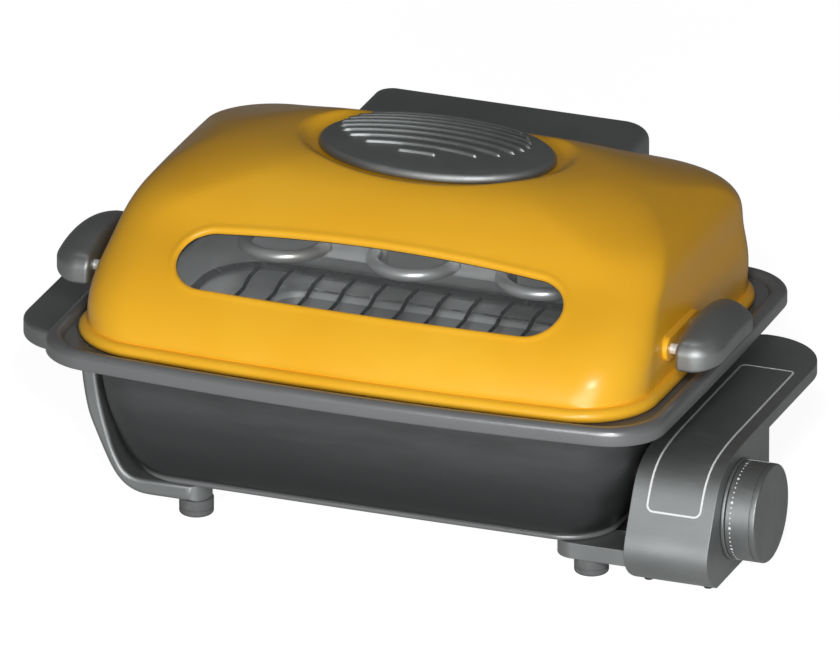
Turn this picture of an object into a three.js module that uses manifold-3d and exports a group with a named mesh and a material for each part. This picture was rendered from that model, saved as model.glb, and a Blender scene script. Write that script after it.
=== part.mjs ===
// Electric fish roaster: a bowed pan on a stand with a control housing, and a hinged domed lid with a window.
// Millimetres, +Z up, front towards -Y. Every shape is made round the centre of the pan, and the finished
// group is moved so that the middle of its footprint is the origin.
import * as THREE from "three";
import { mergeVertices } from "three/addons/utils/BufferGeometryUtils.js";
import Module from "manifold-3d";

const wasm = await Module();
wasm.setup();

// Fits
const fit = 0.25; // gap between two pieces that bear on each other
const play = 0.4; // gap round a pin, a tube or a screw in its hole
const loose = 1.2; // gap between pieces that must stay clear of each other
const pierce = 1; // how far a cutting tool reaches past the faces it cuts

// Feet and arms of the stand
const footRadius = 10.3, footHeight = 10.4, footPegRadius = 3.6, footPegHeight = 6;
const armThickness = 10.1, armWidth = 24, armRound = 12, footSpread = 158;
const leftFootInset = 85, rightFootInset = 29;

// Pan
const rimLength = 388, rimDepth = 282, rimCorner = 30, rimBow = 11, rimSideBow = 1.7;
const rimHeight = 11, rimWidth = 9, rimEdge = 1.4, rimCrown = 0.9, ledgeDrop = 4.8, ledgeThickness = 3;
const panHeight = 93.5, panWall = 2.5, panFloor = 3, footRingHeight = 3.5, footRingWidth = 4;
const wallTopInset = 25.5, wallTaper = 19.5, floorTaper = 11, longWallShare = 0.28, flattestShare = 0.1;
const wallTaperShares = [1, 0.9, 0.74, 0.49, 0.23, 0.08, 0];
const wallHeightShares = [0, 0.03, 0.09, 0.25, 0.49, 0.73, 1];

// Inner tray
const sheet = 1, trayDepth = 32, trayFloorInset = 46;
const trayNeckInset = 31.5, trayWaistInset = 33.5, trayHeelInset = 34.5, trayAnkleInset = 38;
const trayWallShares = [0, 0.1, 0.3, 0.6, 0.85];
const troughMargin = 12, troughInset = 56, troughDrop = 12, troughCorner = 18, troughSlope = 4;

// Rack
const rackEndInset = 40, rackSideInset = 58, rackCorner = 36, rackWire = 5, crossWire = 2.4;
const rackHeight = 14, crossWires = 14, crossInset = 24, crossLanding = 20, crossRun = 11, crossDrop = 3.5;
const rackLegInset = 11;

// Lid
const lidInset = 18, lidCorner = 38.5, lidBow = 8, lidSideBow = 1.5;
const lidHeight = 97, lidWall = 1.4, beadWidth = 5, beadHeight = 8.5;
const lidZShares = [0.087, 0.196, 0.351, 0.506, 0.629, 0.743, 0.836, 0.908, 0.959, 0.99, 1];
const lidSideShares = [1, 1, 0.994, 0.974, 0.961, 0.928, 0.864, 0.784, 0.69, 0.585, 0.3];
const lidFrontShares = [1, 0.965, 0.875, 0.724, 0.569, 0.457, 0.36, 0.268, 0.179, 0.09, -0.1];
const lidBackShares = [1, 1, 1, 1, 1, 0.951, 0.829, 0.711, 0.634, 0.58, 0.455];
const lidCornerShares = [1, 0.9, 0.87, 0.8, 0.76, 0.865, 1.09, 1.25, 1.34, 1.39, 0.5];
const lidLiftShares = [0, 0.1, 0.3, 0.6, 0.75, 0.85, 0.95, 1, 1, 1, 1];
const lidDropShares = [0, 0, 0, 0, 0, 0.2, 0.5, 0.8, 1, 1, 1];
const lidBowShares = [1, 1, 1, 1, 1, 1, 1, 1, 1, 1, 0.3], fullestShare = 0.95;

// Window in the front of the lid
const windowLength = 246, windowHeight = 41, windowHeightShare = 0.557, windowReach = 26;
const lipWidth = 4, lipRise = 1, gasketThickness = 1.5, gasketWidth = 6, glassThickness = 3;
const linerOverlap = 3, linerDrop = 5, linerFoot = 2.6;

// Vent on top of the lid
const ventY = 34, recessEnd = 13, recessSide = 11, recessDrop = 6, recessSlope = 8;
const ventHoleLength = 104, ventHoleDepth = 56, linerHoleLength = 110, linerHoleDepth = 62;
const capLength = 146, capDepth = 90, capEdge = 3, capCrown = 3.4, capWall = 2, capCurl = 1.5;
const ribWidth = 2.2, ribRise = 0.9, ribPitch = 6.4, ribFirstY = -22, ribShift = 5, ribBend = 160;
const ribLengthShares = [0.17, 0.49, 0.66, 0.75, 0.8, 0.82, 0.8, 0.75, 0.66];
const filterThickness = 1.2, filterLength = 116, filterDepth = 68, filterSlots = 7;
const filterSlotWidth = 5, filterPitch = 13, filterSlotShare = 0.62;

// Lid handles
const handleGap = 7.5, handleReach = 26.5, handleSpan = 79, handleThickness = 14, handleCorner = 17;
const handleY = -22.5, handleRise = 26, handleDrop = 3, handleCrown = 3, handleEdge = 2.5;
const postRadius = 3.25, postFrontY = -51, postRearY = -9, postBore = 9, postInside = 3;
const bossHeight = 15, bossRise = 2, bossMargin = 8;

// Tubular heaters
const tubeRadius = 4, upperHeaterDrop = 59, loopPitch = 81, loopRadius = 24.5, loopFrontY = -29;
const loopBackY = 56, tailRun = 22, tailBend = 12, tailX = 44, tailReach = 17, tightShare = 0.98;
const hangerThickness = 1.5, hangerMargin = 3, hangerY = -3;
const lowerHeaterHeight = 22, lowerLegY = 45, lowerInset = 80, lowerTurnInset = 30, lowerTailY = 15;
const lowerBracketX = 70;

// Housing behind the lid, hinge
const rearWidth = 174, rearShift = 3, rearTop = 75, rearReach = 33, rearWall = 3, rearCorner = 8, rearEdge = 12;
const coverThickness = 2.5, coverMargin = 14, rearBite = 15;
const rearBlockOut = 13, rearBlockWidth = 36, rearBlockHeight = 14, rearBlockDepth = 12;
const hingeX = 60, hingeOut = 8, hingePinRadius = 3, hingeKnuckle = 6, hingeWidth = 10, armPlate = 4;
const hingeDrop = 6.5, pinHeadRadius = 4.6, pinHead = 2, hingeBite = 4, bracketFlange = 14, bracketPlate = 3;
const armFlange = 13, armFlangeThickness = 2.5;

// Left stand
const legThickness = 9.7, legDepth = 180, legTop = 96, wingReach = 38, wingSpan = 136, wingCorner = 30;
const wingThickness = 12.5, armInset = 94, legClearance = 1, soleThickness = 4, soleReach = 40, toeSlope = 8;

// Control housing
const housingInset = 26, housingLength = 52, housingTop = 79, housingBottom = 4, housingWall = 3;
const housingBack = 2, housingFront = 104, housingArmReach = 50, panelThickness = 4;
const housingFrontShares = [0.34, 0.58, 0.72, 0.8, 0.88, 0.97, 1, 0.975, 0.86];
const housingHeightShares = [1, 0.975, 0.92, 0.84, 0.67, 0.41, 0.28, 0.1, 0];
const rearWingY = 117, rearWingThickness = 8, rearWingCorner = 40, rearWingInnerCorner = 10;
const bottomCoverThickness = 2.6, bottomSlots = 5, bottomSlotWidth = 4, bottomSlotPitch = 12, slotShare = 0.5;
const coverFront = 86, coverBack = 1, bossRadius = 4.5, bossInset = 4, pillarHeight = 12;
const screwRadius = 1.5, screwHeadRadius = 3, screwHead = 2, screwLength = 11;
const basePlateThickness = 2, basePlateDepth = 108, basePlateMargin = 12, baseScrewY = 38, baseScrewInset = 12;
const baseScrewLength = 8;

// Timer, dial and electrical pieces
const dialY = -52, dialZ = 41, bezelRadius = 30.2, bezelThickness = 2, shaftRadius = 3;
const knobRadius = 29.5, knobLength = 18.6, knobWall = 3, knobChamfer = 1.6, hubRadius = 6.5, shaftBite = 12;
const capDiscRadius = 21, capDiscThickness = 2, timerDepth = 20, timerWidth = 42, timerHeight = 36;
const shieldThickness = 1, shieldBottom = 20, shieldHeight = 38, shieldFront = 84, shieldDepth = 78;
const blockWidth = 14, blockHeight = 14, blockDepth = 26, blockY = -36, blockZ = 32, lowerTailIn = 7;
const inletOut = 30, inletZ = 40, inletWidth = 28, inletHeight = 22, inletDepth = 18, inletFlange = 2;
const inletMargin = 3, pinCavity = 12;

// Facets
const cornerSteps = 4, sideSteps = 4, roundSteps = 16, tubeSides = 7, wireSides = 5, bendSteps = 4;

// Places worked out from the sizes above
const rimEndX = rimLength / 2, rimBackY = rimDepth / 2;
const lidLength = rimLength - 2 * lidInset, lidDepth = rimDepth - 2 * lidInset, lidBackY = lidDepth / 2;
const rackLength = rimLength - 2 * rackEndInset, rackDepth = rimDepth - 2 * rackSideInset;
const crossPitch = (rackLength - 2 * crossInset) / (crossWires - 1);
const troughLength = rackLength - 2 * (crossInset + troughMargin), troughDepth = rimDepth - 2 * troughInset;
const recessLength = capLength + 2 * recessEnd, recessDepth = capDepth + 2 * recessSide;
const rearFront = lidBackY - rearBite, rearBack = lidBackY + rearReach, rearBlockY = lidBackY + rearBlockOut;
const tailEnd = lidBackY + tailReach, hingeY = rimBackY + hingeOut;
const housingInner = rimEndX - housingInset, housingOuter = housingInner + housingLength;
const housingArmEnd = housingInner - housingArmReach, inletX = housingInner + inletOut;
const leftFootX = rimEndX - leftFootInset, rightFootX = housingInner - rightFootInset;

// Levels worked out from the sizes above
const armBottom = footHeight + fit;
const armTop = armBottom + armThickness;
const panBase = armTop + fit;
const rimTop = panBase + panHeight;
const rimBottom = rimTop - rimHeight;
const ledge = rimTop - ledgeDrop;
const lidBase = ledge + fit;
const lidTop = lidBase + lidHeight;
const trayTop = ledge + fit + sheet;
const trayFloorTop = ledge - trayDepth;
const panFloorTop = panBase + footRingHeight + panFloor;

const palette = {
  enamel: { color: 0xfec032, roughness: 0.3, metalness: 0.1 },
  coating: { color: 0x3c3e40, roughness: 0.5, metalness: 0.2 },
  plastic: { color: 0x4a4c4e, roughness: 0.55, metalness: 0 },
  steel: { color: 0xb9bcbf, roughness: 0.35, metalness: 1 },
  chrome: { color: 0xd8dade, roughness: 0.15, metalness: 1 },
  heater: { color: 0x8c8e90, roughness: 0.4, metalness: 1 },
  rubber: { color: 0x2a2a2b, roughness: 0.8, metalness: 0 },
  glass: { color: 0xdfe8ea, roughness: 0.05, metalness: 0, transparent: true, opacity: 0.25 },
  ceramic: { color: 0xe9e6dc, roughness: 0.6, metalness: 0 },
  brass: { color: 0xc9a24a, roughness: 0.35, metalness: 1 },
};
const materials = Object.fromEntries(
  Object.entries(palette).map(([name, values]) => [name, new THREE.MeshStandardMaterial(values)]),
);

const roaster = new THREE.Group();
roaster.name = "fish_roaster";

// A closed triangle surface as a manifold solid, turned the right way out.
function solid(positions, triangles) {
  const make = (triVerts) =>
    new wasm.Manifold(new wasm.Mesh({ numProp: 3, vertProperties: new Float32Array(positions), triVerts }));
  const made = make(new Uint32Array(triangles));
  if (made.volume() > 0) return made;
  return make(new Uint32Array([...triangles].reverse()));
}

function solidOf(geometry) {
  geometry.deleteAttribute("normal");
  geometry.deleteAttribute("uv");
  const merged = mergeVertices(geometry);
  return solid(merged.attributes.position.array, merged.index.array);
}

// Names a finished solid and adds it to the group.
function add(name, made, material) {
  const { vertProperties, triVerts } = made.getMesh();
  const geometry = new THREE.BufferGeometry()
    .setAttribute("position", new THREE.BufferAttribute(vertProperties, 3))
    .setIndex(new THREE.BufferAttribute(triVerts, 1));
  geometry.computeVertexNormals();
  const mesh = new THREE.Mesh(geometry, material);
  mesh.name = name;
  roaster.add(mesh);
}

// Joins rings of points into a skin; an open skin is closed at both ends with fans.
function loft(rings, loop = false) {
  const count = rings[0].length;
  const points = rings.flat();
  const triangles = [];
  for (let i = 0; i < rings.length - (loop ? 0 : 1); i++)
    for (let j = 0; j < count; j++) {
      const next = ((i + 1) % rings.length) * count, k = (j + 1) % count;
      const a = i * count + j, b = i * count + k;
      triangles.push(a, b, next + k, a, next + k, next + j);
    }
  if (loop) return solid(points.flatMap((p) => p.toArray()), triangles);
  const fan = (ring, start, flip) => {
    const middle = new THREE.Vector3();
    ring.forEach((p) => middle.add(p));
    const hub = points.push(middle.divideScalar(count)) - 1;
    for (let j = 0; j < count; j++) {
      const a = start + j, b = start + ((j + 1) % count);
      triangles.push(hub, ...(flip ? [b, a] : [a, b]));
    }
  };
  fan(rings[0], 0, true);
  fan(rings[rings.length - 1], (rings.length - 1) * count, false);
  return solid(points.flatMap((p) => p.toArray()), triangles);
}

// A rounded rectangle with bowed sides at one height; front and back are measured from the pan's centre.
function outline({ half, front, back, corner, bow = 0, sideBow = 0, z }) {
  const depth = (front + back) / 2, middle = (back - front) / 2;
  const points = [];
  const place = (x, y) =>
    points.push(
      new THREE.Vector3(
        x * (1 - (sideBow / half) * (y / depth) ** 2),
        y * (1 - (bow / depth) * (x / half) ** 2) + middle,
        z,
      ),
    );
  [[1, 1], [-1, 1], [-1, -1], [1, -1]].forEach(([sx, sy], quarter) => {
    const cx = sx * (half - corner), cy = sy * (depth - corner);
    const at = (step) => {
      const angle = ((quarter + step / cornerSteps) * Math.PI) / 2;
      return [cx + corner * Math.cos(angle), cy + corner * Math.sin(angle)];
    };
    for (let step = 0; step <= cornerSteps; step++) place(...at(step));
    const [x, y] = at(cornerSteps);
    const along = quarter % 2 ? [x, -y] : [-x, y];
    for (let step = 1; step < sideSteps; step++) {
      const share = step / sideSteps;
      place(x + (along[0] - x) * share, y + (along[1] - y) * share);
    }
  });
  return points;
}

// A ring of the pan, set in from its rim: below the ledge the long walls lean in more and lose their bow.
function panRing(inset, z) {
  const depth = rimDepth / 2 - inset - longWallShare * Math.max(inset - wallTopInset, 0);
  const bow = rimBow * Math.max(1 - inset / (wallTopInset + wallTaper), flattestShare);
  return outline({
    half: rimLength / 2 - inset,
    front: depth,
    back: depth,
    corner: rimCorner,
    bow,
    sideBow: rimSideBow,
    z,
  });
}

// A ring of the lid or of a layer inside it: inset moves it in and down, drop lowers the top further.
function lidRing(i, inset, drop = 0) {
  const front = (lidDepth / 2) * lidFrontShares[i] - inset;
  const back = (lidDepth / 2) * lidBackShares[i] - inset;
  return outline({
    half: (lidLength / 2) * lidSideShares[i] - inset,
    front,
    back,
    corner: Math.min(lidCorner * lidCornerShares[i] - inset, (fullestShare * (front + back)) / 2),
    bow: lidBow * lidBowShares[i],
    sideBow: lidSideBow,
    z: lidBase + lidHeight * lidZShares[i] - inset * lidLiftShares[i] - drop * lidDropShares[i],
  });
}
const lidFoot = (inset, z) => lidRing(0, inset).map((p) => new THREE.Vector3(p.x, p.y, z));

// The whole space under a layer of the lid, down to a level.
const lidVolume = (inset, floor, drop = 0) =>
  loft([lidFoot(inset, floor), ...lidZShares.map((share, i) => lidRing(i, inset, drop))]);

function ellipse(halfX, halfY, y, z) {
  return Array.from({ length: roundSteps }, (_, i) => {
    const angle = (i / roundSteps) * Math.PI * 2;
    return new THREE.Vector3(halfX * Math.cos(angle), y + halfY * Math.sin(angle), z);
  });
}

const box = (x0, x1, y0, y1, z0, z1) =>
  solidOf(
    new THREE.BoxGeometry(x1 - x0, y1 - y0, z1 - z0).translate((x0 + x1) / 2, (y0 + y1) / 2, (z0 + z1) / 2),
  );

// A cylinder from one value to another along an axis; the centre is given in the order x, y, z without the axis.
const turns = { x: (g) => g.rotateZ(-Math.PI / 2), y: (g) => g, z: (g) => g.rotateX(Math.PI / 2) };
const spots = {
  x: (m, a, b) => [m, a, b],
  y: (m, a, b) => [a, m, b],
  z: (m, a, b) => [a, b, m],
};
const rod = (axis, radius, from, to, a, b, steps = roundSteps) =>
  solidOf(
    turns[axis](new THREE.CylinderGeometry(radius, radius, to - from, steps)).translate(
      ...spots[axis]((from + to) / 2, a, b),
    ),
  );

// A flat outline drawn across an axis and drawn out along it: y,z pairs for x, x,z pairs for y, x,y pairs for z.
const bases = {
  x: [[0, 1, 0], [0, 0, 1], [1, 0, 0]],
  y: [[1, 0, 0], [0, 0, 1], [0, 1, 0]],
  z: [[1, 0, 0], [0, 1, 0], [0, 0, 1]],
};
function prism(axis, pairs, from, to) {
  const shape = new THREE.Shape(pairs.map(([a, b]) => new THREE.Vector2(a, b)));
  const geometry = new THREE.ExtrudeGeometry(shape, { depth: to - from, bevelEnabled: false });
  geometry.translate(0, 0, from);
  geometry.applyMatrix4(new THREE.Matrix4().makeBasis(...bases[axis].map((v) => new THREE.Vector3(...v))));
  return solidOf(geometry);
}

// Corners of a rectangle, each rounded by its own radius: lower left, lower right, upper right, upper left.
function rounded(a0, a1, b0, b1, radii, steps = bendSteps) {
  const corners = [[a0, b0, 1, 1, 2], [a1, b0, -1, 1, 3], [a1, b1, -1, -1, 0], [a0, b1, 1, -1, 1]];
  return corners.flatMap(([a, b, da, db, quarter], i) => {
    const radius = radii[i];
    if (radius === 0) return [[a, b]];
    return Array.from({ length: steps + 1 }, (_, step) => {
      const angle = ((quarter + step / steps) * Math.PI) / 2;
      return [a + da * radius + radius * Math.cos(angle), b + db * radius + radius * Math.sin(angle)];
    });
  });
}
const stadium = (length, height, steps) =>
  rounded(-length / 2, length / 2, -height / 2, height / 2, Array(4).fill(height / 2), steps);

// A round bar along a path that lies in one plane.
function bar(path, normal, radius, sides, loop = false) {
  const count = path.length;
  return loft(
    path.map((p, i) => {
      const before = path[loop ? (i + count - 1) % count : Math.max(i - 1, 0)];
      const after = path[loop ? (i + 1) % count : Math.min(i + 1, count - 1)];
      const along = after.clone().sub(p).normalize().add(p.clone().sub(before).normalize()).normalize();
      const across = new THREE.Vector3().crossVectors(normal, along);
      return Array.from({ length: sides }, (_, j) => {
        const angle = ((j + 1 / 2) / sides) * Math.PI * 2;
        return p.clone()
          .addScaledVector(across, radius * Math.cos(angle))
          .addScaledVector(normal, radius * Math.sin(angle));
      });
    }),
    loop,
  );
}

// Points of a flat path whose corners are rounded: each entry is x, y and the radius at that corner.
function rounding(corners, z) {
  return corners.flatMap(([x, y, radius], i) => {
    const here = new THREE.Vector2(x, y);
    if (!radius) return [new THREE.Vector3(x, y, z)];
    const to = (other) => new THREE.Vector2(other[0] - x, other[1] - y).normalize();
    const before = to(corners[(i + corners.length - 1) % corners.length]);
    const after = to(corners[(i + 1) % corners.length]);
    const half = Math.acos(THREE.MathUtils.clamp(before.dot(after), -1, 1)) / 2;
    const middle = here.clone().addScaledVector(before.clone().add(after).normalize(), radius / Math.sin(half));
    const start = here.clone().addScaledVector(before, radius / Math.tan(half)).sub(middle);
    const sweep = Math.PI - 2 * half;
    const side = Math.sign(before.cross(after));
    return Array.from({ length: bendSteps + 1 }, (_, step) => {
      const p = start.clone().rotateAround(new THREE.Vector2(), -side * sweep * (step / bendSteps)).add(middle);
      return new THREE.Vector3(p.x, p.y, z);
    });
  });
}

const union = (parts) => parts.reduce((whole, part) => whole.add(part));
const up = new THREE.Vector3(0, 0, 1), right = new THREE.Vector3(1, 0, 0);

// Outer pan: foot ring, wall, rim band and ledge, then the inside down to the floor.
const wallFoot = panBase + footRingHeight, wallHead = ledge - ledgeThickness;
const wallInset = (share) => wallTopInset + wallTaper * share;
const wallZ = (share) => wallFoot + (wallHead - wallFoot) * share;
const wallLevels = wallTaperShares.map((taper, i) => [wallInset(taper), wallZ(wallHeightShares[i])]);
const ringInset = wallInset(1) + footRingHeight / 2;
const pan = loft(
  [
    [ringInset + footRingWidth + footRingHeight / 2, wallFoot],
    [ringInset + footRingWidth, panBase],
    [ringInset, panBase],
    ...wallLevels,
    [rimWidth, wallHead],
    [rimWidth, rimBottom],
    [rimEdge, rimBottom],
    [0, rimBottom + rimEdge],
    [0, rimTop - rimWidth / 3],
    [rimEdge, rimTop - rimCrown],
    [rimWidth / 2, rimTop],
    [rimWidth - rimEdge, rimTop - rimCrown],
    [rimWidth, ledge],
    [wallTopInset, ledge],
    [wallTopInset + panWall, ledge - panWall],
    ...wallLevels.slice(2, -1).reverse().map(([inset, z]) => [inset + panWall, z]),
    [wallInset(1) + panWall, panFloorTop],
    [wallInset(1) + floorTaper, panFloorTop],
  ].map(([inset, z]) => panRing(inset, z)),
);

// Lower heater: one loop whose two ends come out into the control housing.
const lowerZ = panFloorTop + lowerHeaterHeight;
const lowerEnd = housingInner + panelThickness + lowerTailIn, lowerTurnX = housingInner - lowerTurnInset;
const lowerPath = rounding(
  [
    [lowerEnd, -lowerLegY, 0],
    [lowerInset - rimEndX, -lowerLegY, lowerLegY * tightShare],
    [lowerInset - rimEndX, lowerLegY, lowerLegY * tightShare],
    [lowerTurnX, lowerLegY, tailBend],
    [lowerTurnX, -lowerTailY, tailBend],
    [lowerEnd, -lowerTailY, 0],
  ],
  lowerZ,
);
const lowerHoles = (from, to, ys) =>
  union(ys.map((y) => rod("x", tubeRadius + play, from, to, y, lowerZ)));
const tailHoles = lowerHoles(lowerTurnX, housingOuter - housingWall - loose, [-lowerLegY, -lowerTailY]);
const rimHole = (side) => {
  const y = rimDepth / 2 - rimWidth + hingeBite / 2;
  return rod("y", screwRadius + fit, y, rimDepth, side * (hingeX + bracketFlange - hingeKnuckle / 2), hingeZ);
};
const hingeZ = rimTop - hingeDrop;
add(
  "outer_pan",
  pan.subtract(tailHoles).subtract(rimHole(-1)).subtract(rimHole(1)),
  materials.coating,
);
add("lower_heater", bar(lowerPath, up, tubeRadius, tubeSides), materials.heater);
for (const [name, side] of [["left", -1], ["right", 1]]) {
  const x = side * lowerBracketX, halfSpan = lowerLegY + tubeRadius + hangerMargin;
  const plate = box(
    x - hangerThickness / 2, x + hangerThickness / 2, -halfSpan, halfSpan,
    panFloorTop + fit, lowerZ + tubeRadius + hangerMargin,
  );
  const holes = lowerHoles(x - pierce, x + pierce, [-lowerLegY, lowerLegY]);
  add("lower_heater_bracket_" + name, plate.subtract(holes), materials.steel);
}

// Inner tray: a flange on the pan's ledge inside the lid, a sloped wall and a trough in the floor.
const trayUnder = trayFloorTop - sheet;
const trayInsets = [trayNeckInset, trayNeckInset + sheet, trayWaistInset, trayHeelInset, trayAnkleInset];
const trayWall = trayWallShares.map((share, i) => [trayInsets[i], trayTop - sheet - trayDepth * share]);
const trough = (grow, z) =>
  outline({
    half: troughLength / 2 + grow,
    front: troughDepth / 2 + grow,
    back: troughDepth / 2 + grow,
    corner: troughCorner + grow,
    z,
  });
const tray = loft([
  trough(sheet - troughSlope, trayUnder - troughDrop),
  trough(sheet, trayUnder),
  panRing(trayFloorInset, trayUnder),
  ...trayWall.slice().reverse().map(([inset, z]) => panRing(inset, z)),
  lidFoot(lidWall + loose, trayTop - sheet),
  lidFoot(lidWall + loose, trayTop),
  panRing(trayNeckInset + sheet, trayTop),
  ...trayWall.slice(1).map(([inset, z]) => panRing(inset + sheet, z)),
  panRing(trayFloorInset + sheet, trayFloorTop),
  trough(0, trayFloorTop),
  trough(-troughSlope, trayFloorTop - troughDrop),
]);
add("inner_tray", tray, materials.steel);

// Rack: a frame wire, stepped cross wires and four wire legs, welded into one piece.
const rackZ = trayFloorTop + rackHeight;
const crossX = (i) => (i - (crossWires - 1) / 2) * crossPitch;
const framePath = rounding(
  [[1, 1], [-1, 1], [-1, -1], [1, -1]].map(([sx, sy]) => [
    (sx * rackLength) / 2, (sy * rackDepth) / 2, rackCorner,
  ]),
  rackZ,
);
const crossPoints = [
  [rackDepth / 2, 0],
  [rackDepth / 2 - crossLanding, 0],
  [rackDepth / 2 - crossLanding - crossRun, -crossDrop],
];
const crossPath = [...crossPoints, ...crossPoints.slice().reverse().map(([y, z]) => [-y, z])];
const crosses = Array.from({ length: crossWires }, (_, i) =>
  bar(crossPath.map(([y, z]) => new THREE.Vector3(crossX(i), y, rackZ + z)), right, crossWire / 2, wireSides),
);
const rackLegs = [-1, 1].flatMap((sy) =>
  [crossX(0), crossX(crossWires - 1)].map((x) =>
    rod("z", rackWire / 2, trayFloorTop + fit, rackZ, x, sy * (rackDepth / 2 - rackLegInset), tubeSides),
  ),
);
const rackFrame = bar(framePath, up, rackWire / 2, tubeSides, true);
add("rack", union([rackFrame, ...crosses, ...rackLegs]), materials.chrome);

// Window tool: a stadium drawn out along the normal of the lid's front at the window's height.
const windowRow = lidZShares.findIndex((share) => share >= windowHeightShare);
const rowShare = (shares, t) => THREE.MathUtils.lerp(shares[windowRow - 1], shares[windowRow], t);
const windowT =
  (windowHeightShare - lidZShares[windowRow - 1]) / (lidZShares[windowRow] - lidZShares[windowRow - 1]);
const windowZ = lidBase + lidHeight * windowHeightShare;
const windowY = (-lidDepth / 2) * rowShare(lidFrontShares, windowT);
const windowTilt = Math.atan2(
  lidHeight * (lidZShares[windowRow] - lidZShares[windowRow - 1]),
  (lidDepth / 2) * (lidFrontShares[windowRow - 1] - lidFrontShares[windowRow]),
);
function windowTool(grow) {
  const pairs = stadium(windowLength + 2 * grow, windowHeight + 2 * grow, cornerSteps);
  const shape = new THREE.Shape(pairs.map(([a, b]) => new THREE.Vector2(a, b)));
  return solidOf(
    new THREE.ExtrudeGeometry(shape, { depth: 2 * windowReach, bevelEnabled: false })
      .translate(0, 0, -windowReach)
      .rotateX(windowTilt)
      .translate(0, windowY, windowZ),
  );
}

// Lid shell: rolled bead, domed skin, window with a raised lip, recess and hole for the vent, handle bosses.
const recessFloor = lidTop - recessDrop;
const recess = (grow) =>
  loft([
    ellipse(
      recessLength / 2 - recessSlope + grow, recessDepth / 2 - recessSlope + grow, ventY, recessFloor - grow,
    ),
    ellipse(recessLength / 2 + grow, recessDepth / 2 + grow, ventY, lidTop + pierce),
  ]);
const ventHole = (length, depth) =>
  loft([
    ellipse(length / 2, depth / 2, ventY, recessFloor - beadHeight),
    ellipse(length / 2, depth / 2, ventY, lidTop + pierce),
  ]);
const bead = (grow) =>
  loft([
    lidFoot(lidWall, lidBase - grow),
    lidFoot(-beadWidth * 0.3 - grow, lidBase - grow),
    lidFoot(-beadWidth * 0.85 - grow, lidBase + beadHeight * 0.15),
    lidFoot(-beadWidth - grow, lidBase + beadHeight / 2),
    lidFoot(-beadWidth * 0.85 - grow, lidBase + beadHeight * 0.85),
    lidFoot(-beadWidth * 0.3 - grow, lidBase + beadHeight + grow),
    lidFoot(lidWall, lidBase + beadHeight + grow),
  ]);
const upperZ = lidTop - upperHeaterDrop;
const postZ = lidBase + handleRise;
const lidFace = lidLength / 2;
const alongX = (side, from, to) => (side > 0 ? [from, to] : [-to, -from]);
const boss = (side) => {
  const length = postRearY - postFrontY + 2 * bossMargin, middle = (postRearY + postFrontY) / 2;
  const pairs = stadium(length, bossHeight, cornerSteps).map(([y, z]) => [y + middle, z + postZ]);
  return prism("x", pairs, ...alongX(side, lidFace - lidWall - pierce, lidFace + bossRise));
};
const postHoles = union(
  [-1, 1].flatMap((side) =>
    [postFrontY, postRearY].map((y) =>
      rod("x", postRadius + fit, ...alongX(side, lidFace - lidWall - postInside, lidFace + handleGap), y, postZ),
    ),
  ),
);
const heaterHoles = (from, to) =>
  union([-1, 1].map((side) => rod("y", tubeRadius + play, from, to, side * tailX, upperZ)));
const lip = lidVolume(-lipRise, lidBase)
  .subtract(lidVolume(lidWall / 2, lidBase - pierce))
  .intersect(windowTool(lipWidth));
const lidInside = lidVolume(lidWall, lidBase - pierce).subtract(recess(lidWall));
const throughLid = heaterHoles(tailEnd - lidWall * lidCorner, tailEnd);
add(
  "lid_shell",
  union([lidVolume(0, lidBase), bead(0), lip, boss(-1), boss(1)])
    .subtract(recess(0))
    .subtract(lidInside)
    .subtract(windowTool(0))
    .subtract(ventHole(ventHoleLength, ventHoleDepth))
    .subtract(postHoles)
    .subtract(throughLid),
  materials.enamel,
);

// Layers behind the window: gasket, glass, and the liner that clamps them.
const gasketInset = lidWall + fit;
const glassInset = gasketInset + gasketThickness + fit;
const linerInset = glassInset + glassThickness + fit;
const layer = (inset, thickness) =>
  lidVolume(inset, lidBase).subtract(lidVolume(inset + thickness, lidBase - pierce));
add(
  "window_gasket",
  layer(gasketInset, gasketThickness).intersect(windowTool(gasketWidth)).subtract(windowTool(0)),
  materials.rubber,
);
add("window_glass", layer(glassInset, glassThickness).intersect(windowTool(gasketWidth)), materials.glass);
const linerBase = trayTop + loose;
const linerVolume = (grow, floor) =>
  loft([
    lidFoot(lidWall + fit + grow, floor),
    lidFoot(lidWall + fit + grow, linerBase + linerFoot),
    ...lidZShares.map((share, i) => lidRing(i, linerInset + grow, linerDrop)),
  ]);
add(
  "lid_liner",
  linerVolume(0, linerBase)
    .subtract(linerVolume(sheet, linerBase - pierce))
    .subtract(windowTool(gasketWidth - linerOverlap))
    .subtract(ventHole(linerHoleLength, linerHoleDepth))
    .subtract(throughLid),
  materials.steel,
);

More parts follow.
